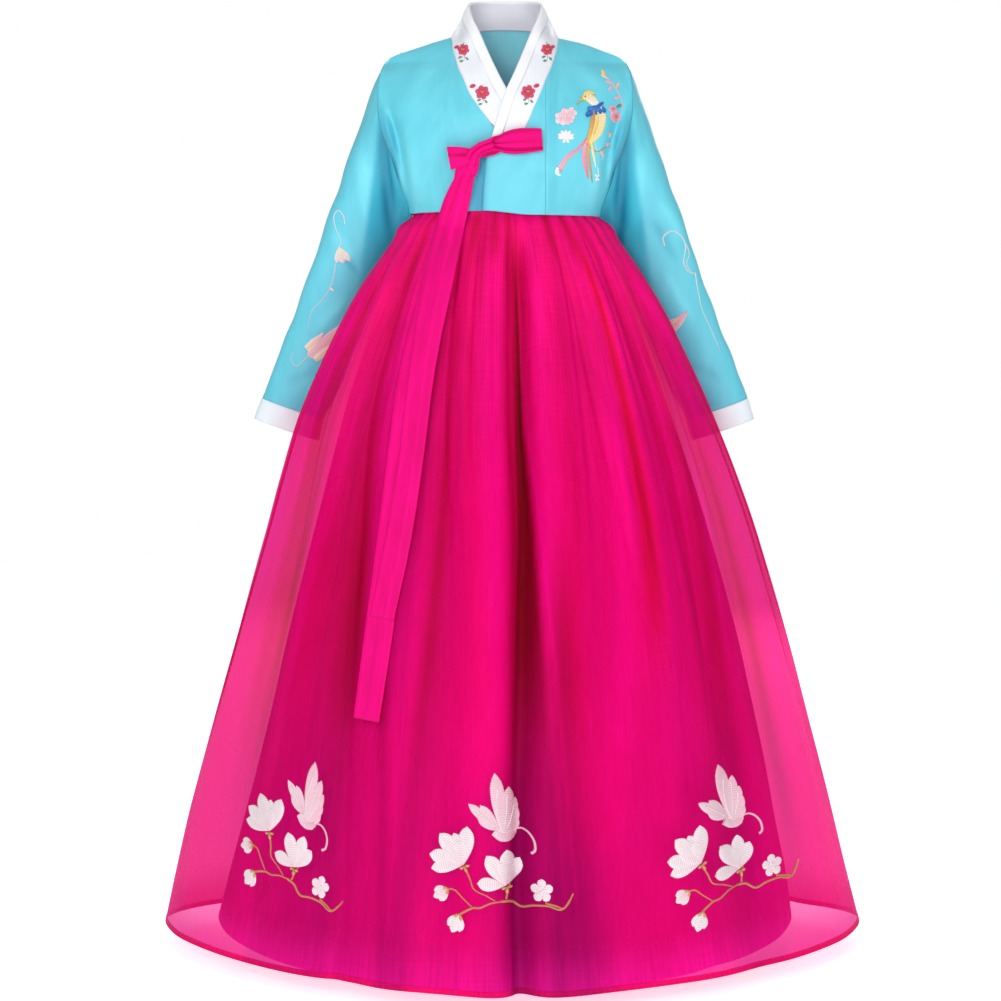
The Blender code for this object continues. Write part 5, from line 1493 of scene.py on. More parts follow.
def with_wrap(tail):
    """A tail's points with those of the wrap that it comes from: from behind the loop's root over
    the knot and down to the tail."""
    share = np.linspace(0, 1, TAIL_SPANS + 1)
    seat = knot_seat_y()
    rows = []
    for station in WRAP:
        x = mix(station.top_x, station.low_x, share)
        z = mix(station.top_z, station.low_z, share)
        y = seat - station.stand * (1 - WRAP_ROUND * np.abs(2 * share - 1) ** WRAP_FLATNESS)
        rows.append(np.stack([x, y, z], -1))
    lower = tail[tail[:, 0, 2] < WRAP[-1].top_z - WRAP_JOIN]
    return np.concatenate([smooth(np.array(rows + [lower[0]]), WRAP_SPLITS)[:-1], lower])


def build_tail(name, rows, layer, pleats):
    """A tail with the pleats that run down from the knot and slowly open."""
    grid = tail_grid(rows, layer)
    if layer:
        grid = with_wrap(grid)
    share = np.linspace(0, 1, TAIL_SPANS + 1)[None]
    below = along_lengths(grid, 0)[:, TAIL_SPANS // 2][:, None] + 0 * share
    height = pleated(pleats, share, ease(below / TAIL_PLEATS_RUN), lambda p: ease(below / p.reach))
    height = height * ease(below / TAIL_PLEATS_START)
    sway = TAIL_SWAY * np.sin(below * 21 + 2 * share + layer) * ease(below / TAIL_SWAY_START)
    grid[..., 1] -= height + sway
    out = outward(normals(grid), FRONT)
    grid = rolled(grid, out, ("first", "last", "hem"), TAIL_TURNED)
    tone = painted_pleat_shade(height) * edged(grid, ("hem",), -TAIL_END_DARK, TAIL_END_SEEN)
    tie_piece(name, grid, out, WALL, "hung", tone=tone)


def build_knot():
    """The knot's core, which shows a little under the wrap: ribbon rolled up, with open ends."""
    start, end = [np.array([x, 0, z]) for x, z in (CORE_FROM, CORE_TO)]
    along = (end - start) / np.linalg.norm(end - start)
    up = np.array([-along[2], 0, along[0]])
    t = np.linspace(0, 1, KNOT_ROWS)[:, None]
    turn = turns(KNOT_SIDES)
    size = 1.0
    for ridge in CORE_RIDGES:
        size = size + ridge.height * np.cos(ridge.count * turn + ridge.twist * t + ridge.start)
    ends = np.maximum(CORE_END, 1 - np.abs(2 * t - 1) ** CORE_END_POINT) ** 0.5
    rise = CORE_HALF_HEIGHT * size * np.cos(turn) * ends
    forward = CORE_HALF_DEPTH * size * np.sin(turn) * ends
    grid = mix(start, end, t[..., None]) + up * rise[..., None]
    grid[..., 1] = knot_seat_y() - CORE_HALF_DEPTH - forward
    out = outward(normals(grid, True), grid - grid.mean(axis=1, keepdims=True))
    tone = painted_pleat_shade((size - CORE_TONE_AT) / CORE_TONE_RUN)
    tie_piece("tie_knot", grid, out, 0.0, "folded", True, tone)


def build_loop():
    """One loop of the bow: the ribbon runs out behind, turns and comes back in front, puffed."""
    edges = curves(LOOP_EDGES)
    there = np.linspace(0, 1, LOOP_STEPS)
    bend = np.linspace(0, np.pi, BEND_STEPS)[1:-1]
    way = np.concatenate([there, 1 + LOOP_TURN * np.sin(bend), there[::-1]])[:, None]
    front = np.concatenate([0 * there, (1 - np.cos(bend)) / 2, 1 + 0 * there])[:, None]
    share = np.linspace(0, 1, LOOP_SPANS + 1)[None]
    z = mix(edges.top(way), edges.low(way), share)
    x = mix(LOOP_ROOT_X, mix(LOOP_FAR_X[0], LOOP_FAR_X[1], share), way)
    seat = jacket_y(-1, 0.0, LOOP_SEAT_Z) - OVERLAP_LIFT - STRIP_WALL - 3 * SEAM
    puff = np.sin(np.pi * share) ** LOOP_ROUNDNESS * edges.puff(way)
    height = pleated(LOOP_PLEATS, share, way, lambda pleat: np.minimum(way, 1))
    y = seat - front * (2 * WALL + LOOP_LAYER_GAP + puff + height)
    grid = np.stack([x, y, z], -1)
    out = outward(normals(grid), FRONT * (front[..., None] - 0.5))
    tone = painted_pleat_shade(height * front) * (1 - LOOP_ROOT_PAINTED_SHADE * bell(way, LOOP_ROOT_SEEN))[..., None]
    tie_piece("tie_loop", grid, out, WALL, "folded", tone=tone)


def build_ear():
    """The short end left of the knot, which comes from under the wrap."""
    t = np.linspace(0, 1, EAR_STEPS)[:, None]
    share = np.linspace(0, 1, EAR_SPANS)[None]
    root_top, root_low = [np.array([x, 0, z]) for x, z in EAR_ROOT]
    top = mix(root_top, np.array(EAR_TIP_TOP), t[..., None])
    low = mix(root_low, np.array(EAR_TIP_LOW), t[..., None])
    grid = mix(top, low, share[..., None])
    cross_bulge = EAR_CROSS_BULGE * np.sin(np.pi * share) * t
    bulge = EAR_BULGE * (np.sin(np.pi * t ** EAR_ROUNDNESS) + cross_bulge)
    height = pleated(EAR_PLEATS, share, t, lambda pleat: t)
    grid[..., 1] = knot_seat_y() - mix(EAR_STAND[0], EAR_STAND[1], t) - bulge - height
    grid[..., 2] += EAR_ARCH * np.sin(np.pi * t) * (1 - share)
    out = outward(normals(grid), FRONT)
    tone = painted_pleat_shade(height) * (1 - EAR_ROOT_PAINTED_SHADE * bell(t, EAR_ROOT_SEEN))[..., None]
    tie_piece("tie_ear", grid, out, WALL, "folded", tone=tone)


def build_tie():
    """The bow, from the knot out."""
    build_knot()
    build_loop()
    build_ear()
    build_tail("tie_tail_long", TAIL_LONG, 0, LONG_PLEATS)
    build_tail("tie_tail_short", TAIL_SHORT, 1, SHORT_PLEATS)


# ---- Materials -------------------------------------------------------------------------

CLOUDS = (0.3, 0.7)  # the middle of a noise's range, which cloudy colours spread over


class Look:
    """A material in the making: a node tree with short ways to add to it. Numbers of grains,
    threads and stitches are those to a metre."""

    def __init__(self, name):
        self.material = bpy.data.materials.new(name)
        self.material.use_nodes = True
        self.tree = self.material.node_tree
        self.tree.nodes.clear()
        self.output = self.node("ShaderNodeOutputMaterial")
        self.place = self.node("ShaderNodeUVMap", uv_map="metres").outputs["UV"]

    def node(self, kind, inputs=(), **settings):
        made = self.tree.nodes.new(kind)
        for name, value in settings.items():
            setattr(made, name, value)
        for name, value in dict(inputs).items():
            self.put(made.inputs[name], value)
        return made

    def put(self, socket, value):
        if isinstance(value, bpy.types.NodeSocket):
            self.tree.links.new(value, socket)
        else:
            socket.default_value = value

    def scaled(self, across, along):
        """The UVs in metres, multiplied."""
        inputs = {"Vector": self.place, "Scale": (across, along, 1)}
        return self.node("ShaderNodeMapping", inputs).outputs["Vector"]

    def noise(self, across, along, detail=2.0):
        """Noise whose grains are 1 / across wide and 1 / along long, in metres."""
        inputs = {"Vector": self.scaled(across, along), "Scale": 1.0, "Detail": detail}
        return self.node("ShaderNodeTexNoise", inputs, noise_dimensions="2D").outputs["Fac"]

    def wave(self, across, along, direction, distortion=0.0):
        """Bands in one direction, as many to a metre as across and along say."""
        inputs = {"Vector": self.scaled(across, along), "Scale": 1.0, "Distortion": distortion}
        return self.node("ShaderNodeTexWave", inputs, bands_direction=direction).outputs["Fac"]

    def maths(self, operation, a, b=0.0):
        return self.node("ShaderNodeMath", {0: a, 1: b}, operation=operation).outputs[0]

    def spread(self, value, low, high, to_low, to_high):
        """A value's range from low to high turned into another one."""
        sockets = ("Value", "From Min", "From Max", "To Min", "To Max")
        inputs = zip(sockets, (value, low, high, to_low, to_high))
        return self.node("ShaderNodeMapRange", inputs).outputs["Result"]

    def blend(self, fac, a, b, mode="MIX"):
        """Two colours mixed, by the sockets that a colour mix reads."""
        inputs = {0: fac, 6: a, 7: b}
        return self.node("ShaderNodeMix", inputs, data_type="RGBA", blend_type=mode).outputs[2]

    def bump(self, height, distance, strength=1.0, normal=None):
        inputs = {"Height": height, "Distance": distance, "Strength": strength}
        if normal is not None:
            inputs["Normal"] = normal
        return self.node("ShaderNodeBump", inputs).outputs["Normal"]

    def principled(self, **inputs):
        named = {name.replace("_", " "): value for name, value in inputs.items()}
        return self.node("ShaderNodeBsdfPrincipled", named)

    def carried(self):
        """What the mesh's points carry: a colour, and how clear sheer cloth is there as its alpha."""
        return self.node("ShaderNodeAttribute", attribute_name="tint")

    def toned(self, tone):
        """A colour multiplied by the carried one."""
        return self.blend(1.0, tone, self.carried().outputs["Color"], "MULTIPLY")

    def uneven(self, noise, by):
        """A factor that strays from 1 by as much, with the noise."""
        return self.spread(noise, 0.25, 0.75, 1 - by, 1 + by)

    def dyed(self, colour, shade, clouds, grain, by):
        """Cloudy between a colour and a darker one, uneven along the grain, and toned."""
        tone = self.blend(self.spread(clouds, *CLOUDS, 0.0, 1.0), (*shade, 1), (*colour, 1))
        return self.toned(self.blend(1.0, tone, self.uneven(grain, by), "MULTIPLY"))

    def surface(self, tone, rough, relief, gloss):
        """The finished material of a cloth that light does not pass."""
        return self.finish(self.principled(
            Base_Color=tone, Roughness=rough, Normal=relief, Specular_IOR_Level=gloss))

    def finish(self, shader):
        self.put(self.output.inputs["Surface"], shader.outputs[0])
        return self.material


def satin(name, colour, shade, gloss, rough=0.45):
    """A smooth, close weave with slubs across it, cloudy in colour, with a soft gloss."""
    look = Look(name)
    clouds, slubs = look.noise(26, 19, 3), look.noise(260, 2400, 2)
    weave = look.bump(look.wave(560, 560, "DIAGONAL"), 0.00006, 0.5)
    weave = look.bump(slubs, 0.0001, 0.5, weave)
    weave = look.bump(look.noise(70, 45, 2), 0.0007, 0.35, weave)
    roughness = look.spread(clouds, *CLOUDS, rough - 0.03, rough + 0.05)
    return look.surface(look.dyed(colour, shade, clouds, slubs, 0.035), roughness, weave, gloss)


def sheer_cloth(name, colour, seen_through, passed):
    """Organza: its threads scatter one share of the light, and the rest passes tinted between
    them. Fine slubs run down it."""
    look = Look(name)
    down = look.noise(330, 12, 3)
    slubs = look.maths("MULTIPLY", look.uneven(down, 0.07), look.uneven(look.noise(16, 380, 2), 0.025))
    cloud = look.spread(look.noise(22, 9, 3), *CLOUDS, 0.95, 1.05)
    slubs = look.maths("MULTIPLY", slubs, cloud)
    tone = look.toned(look.blend(1.0, (*colour, 1), slubs, "MULTIPLY"))
    threads = look.principled(Base_Color=tone, Roughness=0.6, Specular_IOR_Level=0.08,
                              Normal=look.bump(down, 0.00012, 0.4))
    clear = look.node("ShaderNodeBsdfTransparent", {"Color": look.toned((*passed, 1))})
    passing = look.maths("MULTIPLY", look.carried().outputs["Alpha"], seen_through)
    share = look.maths("MULTIPLY", slubs, look.maths("SUBTRACT", 1.0, passing))
    mixed = look.node("ShaderNodeMixShader")
    for socket, value in enumerate((share, clear.outputs[0], threads.outputs[0])):
        look.put(mixed.inputs[socket], value)
    return look.finish(mixed)


def soft_cloth(name, colour, shade):
    """A matt lining with a fine upright grain."""
    look = Look(name)
    clouds, down = look.noise(8, 4, 3), look.noise(280, 30, 3)
    tone = look.dyed(colour, shade, clouds, down, 0.07)
    return look.surface(tone, 0.65, look.bump(down, 0.0001, 0.4), 0.06)


def ribbon_cloth(name, colour, shade):
    """A light chiffon ribbon: fine crinkles run along it."""
    look = Look(name)
    crinkles, clouds = look.noise(900, 26, 3), look.noise(60, 14, 2)
    tone = look.dyed(colour, shade, clouds, crinkles, 0.05)
    return look.surface(tone, 0.55, look.bump(crinkles, 0.0003, 0.5), 0.08)


def thread_work(name):
    """Embroidery: rows of stitches in the thread's own colour, which each point carries."""
    look = Look(name)
    rows, stitches = look.wave(24, 105, "Y", 0.8), look.wave(420, 60, "X", 0.6)
    rows_shade = look.spread(rows, 0, 0.6, 0.8, 1)
    shade = look.maths("MULTIPLY", rows_shade, look.spread(stitches, 0, 1, 0.95, 1.03))
    tone = look.toned(look.blend(1.0, (1, 1, 1, 1), shade, "MULTIPLY"))
    relief = look.bump(stitches, 0.0003, 0.4, look.bump(rows, 0.0006, 0.5))
    return look.surface(tone, 0.5, relief, 0.4)


SATIN = satin("turquoise_satin", (0.128, 0.59, 0.715), (0.108, 0.55, 0.68), 0.5)
CUFF = satin("lavender_white_satin", (0.77, 0.88, 0.93), (0.73, 0.84, 0.9), 0.3, 0.5)
COLLAR = satin("white_satin", (0.78, 0.8, 0.85), (0.75, 0.77, 0.83), 0.3, 0.5)
STRIP = satin("bright_white_cotton", (0.84, 0.85, 0.88), (0.81, 0.82, 0.86), 0.2, 0.6)
ORGANZA = sheer_cloth("magenta_organza", (0.8, 0.002, 0.26), 0.7, (0.91, 0.24, 0.51))
HEM = sheer_cloth("magenta_organza_hem", (0.88, 0.002, 0.17), 0.35, (1.0, 0.1, 0.45))
LINING = soft_cloth("magenta_lining", (0.84, 0.001, 0.41), (0.77, 0.001, 0.36))
RIBBON = ribbon_cloth("magenta_chiffon", (0.77, 0.001, 0.19), (0.68, 0.001, 0.155))
THREAD = thread_work("embroidery_thread")


# ---- Embroidery ------------------------------------------------------------------------

MILLIMETRE = 0.001
PETAL_WHITE = (0.82, 0.72, 0.76)
PETAL_BLUSH = (0.8, 0.59, 0.66)
PETAL_ROSE = (0.78, 0.42, 0.52)
WING = (0.79, 0.46, 0.56)
BARK = (0.52, 0.23, 0.09)
SEPAL = (0.62, 0.38, 0.17)
RED = (0.5, 0.015, 0.07)
ROSE = (0.66, 0.08, 0.17)
LEAF = (0.09, 0.19, 0.11)
LEAF_PALE = (0.2, 0.32, 0.22)
GOLD = (0.8, 0.47, 0.1)
LEMON = (0.84, 0.66, 0.24)
CREAM = (0.84, 0.78, 0.58)
BLUE = (0.01, 0.1, 0.42)
SKY = (0.04, 0.24, 0.6)
RUST = (0.5, 0.2, 0.09)
PINK = (0.74, 0.2, 0.31)
PALE_PINK = (0.78, 0.42, 0.5)
INK = (0.03, 0.03, 0.04)
THREAD_WHITE = (0.84, 0.83, 0.85)
VINE = (0.72, 0.68, 0.7)
LEAST_STITCH = 0.00012  # half the width of the thinnest stitches
STITCH_EDGE = 0.00015  # a stitched shape's rim stands this high
STITCH_SUNK = 0.0002  # and its underside lies this far into the cloth
SPINE_SPLITS = 8
STROKE_ROWS = 14
STROKE_COLUMNS = 7
STROKE_UV_STEP = 0.001  # moves the stitches of each stroke on, so that no two are alike
COLOUR_LEAN = 0.8  # below 1, a stroke leaves its first colour early
RIM_LIGHT = 0.08  # its rim is this much lighter
PETAL_ROUNDNESS = 0.6  # below 1, blunter
PETAL_POINTS = 5  # along its spine
PETAL_WIDTHS = 9
CORD_SPLITS = 6  # rows for each point of a stem
CORD_COLUMNS = 5

# Where the sprays lie: their first flower's cup, their turn in degrees and how much narrower they
# look where the skirt turns away.
SPRAYS = (
    ("right", (-0.33, -1.124), -19, 0.84),
    ("middle", (-0.056, -1.1415), 0, 1.0),
    ("left", (0.269, -1.155), 6, 1.0),
)


def flat_band(spine, widths, way, across):
    """The points of a band along a spine in its own plane, its half widths and its lengths."""
    fine = smooth(spine, SPINE_SPLITS)
    fine = np.stack([np.interp(way, np.linspace(0, 1, len(fine)), fine[:, k]) for k in (0, 1)], 1)
    half = np.maximum(Curve(np.linspace(0, 1, len(widths)), widths)(way), LEAST_STITCH)
    run = np.gradient(fine, axis=0)
    run /= np.maximum(np.linalg.norm(run, axis=1, keepdims=True), TINY)
    square = np.stack([-run[:, 1], run[:, 0]], 1)
    flat = fine[:, None] + square[:, None] * (half[:, None] * across)[..., None]
    length = np.concatenate([[0], np.cumsum(np.linalg.norm(np.diff(fine, axis=0), axis=1))])
    return flat, half[:, None], length[:, None]


class Needlework:
    """Stitched shapes on one stretch of cloth, gathered into one mesh. place turns points of the
    motif's own plane into points on the cloth and the directions out of it."""

    def __init__(self, name, place):
        self.name, self.place = name, place
        self.points, self.faces, self.uvs, self.tints = [], [], [], []
        self.count = 0

    def stroke(self, spine, widths, colours, height=0.9, lift=0.0, rows=STROKE_ROWS,
               columns=STROKE_COLUMNS):
        """A domed band of stitches along a spine, in millimetres, with half widths spread along it
        and a colour at its start and its end."""
        height, lift = height * MILLIMETRE, lift * MILLIMETRE
        way = np.linspace(0, 1, rows)
        across = np.sin(np.linspace(-np.pi / 2, np.pi / 2, columns))
        spine, widths = np.asarray(spine, float), np.asarray(widths, float)
        flat, half, length = flat_band(spine * MILLIMETRE, widths * MILLIMETRE, way, across)
        on_cloth, out = [found.reshape(rows, columns, 3) for found in self.place(flat.reshape(-1, 2))]
        dome = np.sqrt(np.maximum(0, 1 - across ** 2)) * np.minimum(1, half / height)
        top = on_cloth + out * (lift + STITCH_EDGE + height * dome)[..., None]
        low = on_cloth - out * STITCH_SUNK
        ring = np.concatenate([top, low[:, ::-1]], axis=1)
        side = np.concatenate([across, across[::-1]])
        self.add_ring(ring, half * np.append(side, side[0]) + self.count * STROKE_UV_STEP, length)
        start, end = np.array(colours[0]), np.array(colours[-1])
        tint = mix(start, end, way[:, None, None] ** COLOUR_LEAN)
        self.tints.append((tint * (1 + RIM_LIGHT * np.abs(side))[None, :, None]).reshape(-1, 3))

    def add_ring(self, ring, u, v):
        """A closed body from rings of points, with caps at both ends."""
        rows, around = ring.shape[:2]
        faces, rows_of, columns_of = quads(self.count, rows, around, True, False)
        i = np.arange(around // 2 - 1)
        cap = np.stack([i, i + 1, around - 2 - i, around - 1 - i], -1)
        caps = np.concatenate([cap[:, ::-1], (rows - 1) * around + cap]) + self.count
        uvs = np.stack([u, np.broadcast_to(v, u.shape)], -1)[rows_of, columns_of]
        self.faces += [faces, caps]
        self.uvs += [uvs, np.zeros((len(caps), 4, 2))]
        self.points.append(ring.reshape(-1, 3))
        self.count += rows * around

    def strokes(self, table):
        """All the strokes of a table."""
        for row in table:
            self.stroke(*row)

    def petal(self, base, angle, length, width, colours, lift=0.0, bend=0.0, height=1.0, fullest=0.64):
        """A rounded petal from its base, at an angle in degrees from the motif's first axis. It is
        fullest at that share of its length."""
        way = np.linspace(0, 1, PETAL_POINTS)
        curl = math.radians(angle) + math.radians(bend) * way
        spine = np.array(base) + (length * way)[:, None] * np.stack([np.cos(curl), np.sin(curl)], 1)
        power = math.log(0.5) / math.log(fullest)
        shape = np.sin(np.pi * np.linspace(0, 1, PETAL_WIDTHS) ** power) ** PETAL_ROUNDNESS
        shape[-1] = 0.0
        self.stroke(spine, width / 2 * shape, colours, height, lift)

    def cord(self, points, half_width, colour, height=0.8, lift=0.0, ends=(1.0, 0.6)):
        """A stitched stem."""
        count = len(points)
        widths = half_width * np.linspace(*ends, count)
        self.stroke(points, widths, (colour, colour), height, lift, CORD_SPLITS * count, CORD_COLUMNS)

    def finish(self):
        """The whole motif as one object."""
        points, faces, uvs, tints = [
            np.concatenate(part) for part in (self.points, self.faces, self.uvs, self.tints)]
        mesh_object(self.name, points, faces, uvs, THREAD, tints)


@lru_cache(maxsize=None)
def surface_tree(name):
    """A finished piece's faces, to find places on."""
    data = made_pieces[name].data
    return BVHTree.FromPolygons([v.co for v in data.vertices], [f.vertices[:] for f in data.polygons])


def from_view(side, origin, turn, targets, across=1.0):
    """Places a motif's points on what lies foremost there, seen from the front (-1) or, mirrored,
    from the back (+1). origin is its own origin's x and z, turn its angle in degrees, and across
    how much wider it lies where the cloth turns away."""
    trees = [surface_tree(target) for target in targets]
    cos, sin = math.cos(math.radians(turn)), math.sin(math.radians(turn))

    def place(flat):
        found, outs = [], []
        for u, v in flat:
            x = -side * (origin[0] + across * (u * cos - v * sin))
            z = origin[1] + u * sin + v * cos
            start = Vector((x, side * 1.0, z))
            hits = [tree.ray_cast(start, Vector((0, -side, 0))) for tree in trees]
            hits = [hit for hit in hits if hit[0] is not None]
            if not hits:
                near = [tree.find_nearest(Vector((x, side * 0.1, z))) for tree in trees]
                hits = [min(near, key=lambda hit: hit[3])]
            place_at, out = min(hits, key=lambda hit: hit[0].y * -side)[:2]
            found.append(place_at)
            outs.append(out if out.y * side > 0 else -out)
        return np.array(found), np.array(outs)

    return place


def fan(work, cup, petals, colours):
    """Petals round a cup, the far ones first."""
    for order, petal in enumerate(petals):
        work.petal(cup, *petal, colours, 0.3 + 0.25 * order, 3.0)


def flower_cup(work, cup, facing):
    """The sepals and the green base under a flower."""
    for turn, length in ((-62, 7.0), (0, 9.0), (62, 7.0)):
        work.petal(cup, facing + turn, length, 3.4, (BARK, SEPAL), 1.6, 20 * turn / 62)


def blossom(work, centre, size, petals, colours, eye, turn=0.0):
    """A small open flower seen from above."""
    for k in range(petals):
        work.petal(centre, turn + 360 * k / petals, size, size * 0.76, colours, 0.2 + 0.2 * (k % 2))
    for k in range(3):
        work.petal(centre, turn + 40 + 120 * k, size * 0.3, size * 0.24, (eye, eye), 1.1)


def bud(work, base, facing, size, colours):
    """A closed flower: three petals, the middle one longest and on top, and two sepals."""
    for way, share, lift in ((-1, 0.86, 0.3), (1, 0.86, 0.3), (0, 1.0, 0.7)):
        work.petal(base, facing + 22 * way, size * share, size * 0.46, colours, lift)
    for side in (-1, 1):
        work.petal(base, facing + 36 * side, 0.34 * size, 0.15 * size, (BARK, SEPAL), 1.5)


# A spray's parts, in millimetres from the cup of its first flower.
Stem = namedtuple("Stem", "half points")
SPRAY_STEMS = table_of(
    Stem,
    (1.5, ((-6, -65), (2, -60), (12, -55), (22, -54), (36, -48), (50, -46))),
    (1.6, ((50, -46), (63, -48), (77, -57), (94, -53), (113, -52), (130, -57), (140, -50), (147, -37))),
    (1.3, ((112, -49), (124, -52), (134, -55), (143, -44))),
    (1.1, ((1, -4), (8, -17), (14, -31), (30, -38), (42, -45))),
    (1.2, ((57, -44), (59, -33), (62, -24))),
    (1.1, ((-22, -33), (-12, -34), (-2, -43), (11, -54))),
    (1.1, ((111, -50), (110, -42))),
)
Petal = namedtuple("Petal", "angle length width")
FIRST_FLOWER = table_of(
    Petal, (106, 42, 20), (187, 45, 17), (164, 48, 20), (82, 50, 21), (128, 50, 22), (146, 33, 17),
    (100, 31, 17))
SECOND_FLOWER = table_of(
    Petal, (172, 38, 18), (56, 38, 20), (85, 46, 20), (120, 47, 21), (102, 31, 17))
FOREWING_LOBES = table_of(
    Petal, (28, 20, 14), (46, 30, 16), (60, 40, 16), (72, 52, 17), (98, 86, 19), (84, 66, 18))
WING_VEINS = (
    ((45, 100), (44, 80), (46, 60), (51, 44)),
    ((57, 92), (56, 70), (54, 50)),
    ((66, 76), (62, 60), (57, 46)),
    ((16, 72), (28, 63), (42, 50)),
)
BUTTERFLY_TAIL = ((66, 43), (78, 45), (88, 40), (95, 30), (96, 19), (91, 14))


def butterfly(work):
    """A butterfly from the side: a tall forewing of overlapping lobes, the far one behind it, small
    hindwings and a long curled tail."""
    for angle, length in ((151, 36), (142, 56), (130, 44)):
        work.petal((50, 45), angle, length, 13, (WING, PETAL_BLUSH), 0.2)
    for order, (angle, length, width) in enumerate(FOREWING_LOBES):
        work.petal((53, 36), angle, length, width, (PETAL_BLUSH, WING), 0.4 + 0.15 * order)
    for angle, length in ((205, 12), (168, 12), (330, 15), (5, 16)):
        work.petal((55, 42), angle, length, 9, (WING, PETAL_WHITE), 0.5)
    work.stroke([(40, 44), (50, 37), (60, 36), (68, 42)], [4.0, 5.0, 5.0, 3.0],
                (PETAL_BLUSH, PETAL_ROSE), 1.1, 1.5)
    for points in WING_VEINS:
        work.cord(points, 0.6, PETAL_WHITE, 0.6, 2.0)
    work.cord(BUTTERFLY_TAIL, 1.2, WING, 0.9, 0.2, (0.9, 1.5))


def spray(name, place):
    """A magnolia branch with its flowers and buds, and a butterfly over it."""
    work = Needlework(name, place)
    for stem in SPRAY_STEMS:
        work.cord(stem.points, stem.half, BARK, 1.1)
    blush, pale = (PETAL_ROSE, PETAL_WHITE), (PETAL_BLUSH, PETAL_WHITE)
    fan(work, (0, 0), FIRST_FLOWER, pale)
    flower_cup(work, (1, -2), 295)
    fan(work, (56, -26), SECOND_FLOWER, pale)
    flower_cup(work, (57, -28), 275)
    work.petal((109, -43), 100, 12, 9, blush, 0.1)
    blossom(work, (105, -33), 15.5, 5, pale, PETAL_WHITE, 92)
    bud(work, (-20, -33), 210, 24, blush)
    bud(work, (-5, -64), 246, 27, (PETAL_WHITE, PETAL_WHITE))
    butterfly(work)
    work.finish()


# The bird, from its plumes up to its beak, by x and z on the chest in millimetres.
Stroke = namedtuple(
    "Stroke", "spine halves colours height lift rows columns",
    defaults=(STROKE_ROWS, STROKE_COLUMNS))
BIRD_PLUMES = table_of(
    Stroke,
    (((116, -150), (104, -165), (88, -178), (77, -196)), (1.2, 2.4, 3.4, 4), (PINK, PALE_PINK), 1, 0),
    (((76, -192), (74, -199), (79, -203)), (3, 2.6, 0.8), (THREAD_WHITE, THREAD_WHITE), 1, 0),
    (((117, -152), (113, -170), (115, -188), (119, -206)), (1.6, 3.4, 3.2, 0.8), (PALE_PINK, PINK),
     1, 0.2),
    (((120, -152), (119, -172), (123, -196), (125, -212)), (1.2, 2, 1.2, 0.5), (GOLD, RUST), 0.9, 0.3),
    (((122, -150), (126, -170), (130, -190)), (1.2, 1.8, 0.6), (LEMON, CREAM), 0.9, 0.4),
)
BIRD_BODY = table_of(
    Stroke,
    (((131, -100), (135, -118), (131, -138), (120, -158)), (6.2, 9.8, 8.6, 1.8), (CREAM, LEMON),
     1.4, 0.4, 22, 11),
    (((126, -108), (125, -124), (121, -142), (116, -158)), (1.6, 3, 2.6, 0.8), (RUST, GOLD), 1, 1.8),
    (((132, -112), (131, -128), (126, -144)), (1.2, 1.8, 0.8), (LEMON, GOLD), 0.9, 2),
)
BIRD_HEAD = table_of(
    Stroke,
    (((118, -107), (128, -106), (140, -98)), (2.2, 4, 1.2), (SKY, BLUE), 1.1, 2.2),
    (((131, -103), (124, -94), (117, -90), (110, -93)), (5.2, 6.2, 5.8, 2.2), (THREAD_WHITE, LEMON),
     1.4, 1.6, 18, 9),
    (((128, -86), (119, -83.5), (111, -87)), (0.8, 2.4, 1.4), (GOLD, LEMON), 1, 3),
    (((110, -93), (106, -96.5), (102.5, -101)), (1.8, 1, 0.3), (GOLD, GOLD), 0.9, 1.8),
)
BIRD_LEGS = ((127, -150), (130, -162), (133, -170))
TWIG = ((118, -160), (132, -168), (142, -162), (150, -158))
CHEST_VINE = ((144, -56), (153, -65), (163, -80), (169, -95), (169, -108))
VINE_LEAVES = (  # x, z, angle and length
    (146, -58, 118, 13), (149, -61, 142, 13), (156, -68, 158, 12), (160, -75, 60, 10),
    (157, -70, 225, 12), (166, -87, 200, 10))
PEONY_RINGS = ((-6, -3, 10.5), (0, 2, 10.5), (7, 4, 9.5), (3, -4, 9))  # x, z and petal length
LOTUS_PETALS = (  # angle and length
    (90, 12), (58, 13), (122, 13), (28, 13), (152, 13), (4, 12), (176, 12), (235, 8), (305, 8))


def bird(work):
    """The bird: its plumes and body, the feathers of its wing, its head, its eye and its legs."""
    work.strokes(BIRD_PLUMES + BIRD_BODY)
    for way in np.linspace(0, 1, 5):
        wing_from = (119 + 20 * way, -108.5 + 6 * way)
        work.petal(wing_from, 262 + 24 * way, 11, 6.2, (SKY, BLUE), 1.9, 0.0, 0.9)
    work.strokes(BIRD_HEAD)
    work.petal((113, -90.5), 0, 1.8, 1.8, (INK, INK), 3.2, 0, 0.5, 0.5)
    work.cord(BIRD_LEGS, 0.6, LEMON)


def twig(work):
    """The twig under the bird, with a few leaves, and a small white flower below it."""
    work.cord(TWIG, 0.8, RUST)
    work.cord([(136, -166), (141, -174), (139, -180)], 0.5, VINE)
    for x, z, angle in ((146, -160, 60), (139, -166, 280), (150, -146, 70)):
        work.petal((x, z), angle, 8, 4, (GOLD, PALE_PINK), 0.5)
    work.cord([(133, -190), (134, -200), (130, -208)], 0.5, THREAD_WHITE)
    for angle in (60, 120, 250, 300):
        work.petal((132, -204), angle, 5, 2.6, (THREAD_WHITE, THREAD_WHITE), 0.4)


def peony(work, x, z):
    """A full flower: four rings of petals, each on the one before it."""
    for order, (off_x, off_z, size) in enumerate(PEONY_RINGS):
        tip = PETAL_BLUSH if order % 2 else PETAL_WHITE
        for turn in range(5):
            work.petal((x + off_x, z + off_z), 40 * order + 72 * turn, size, size * 0.8,
                       (PALE_PINK, tip), 0.3 + 0.3 * order)


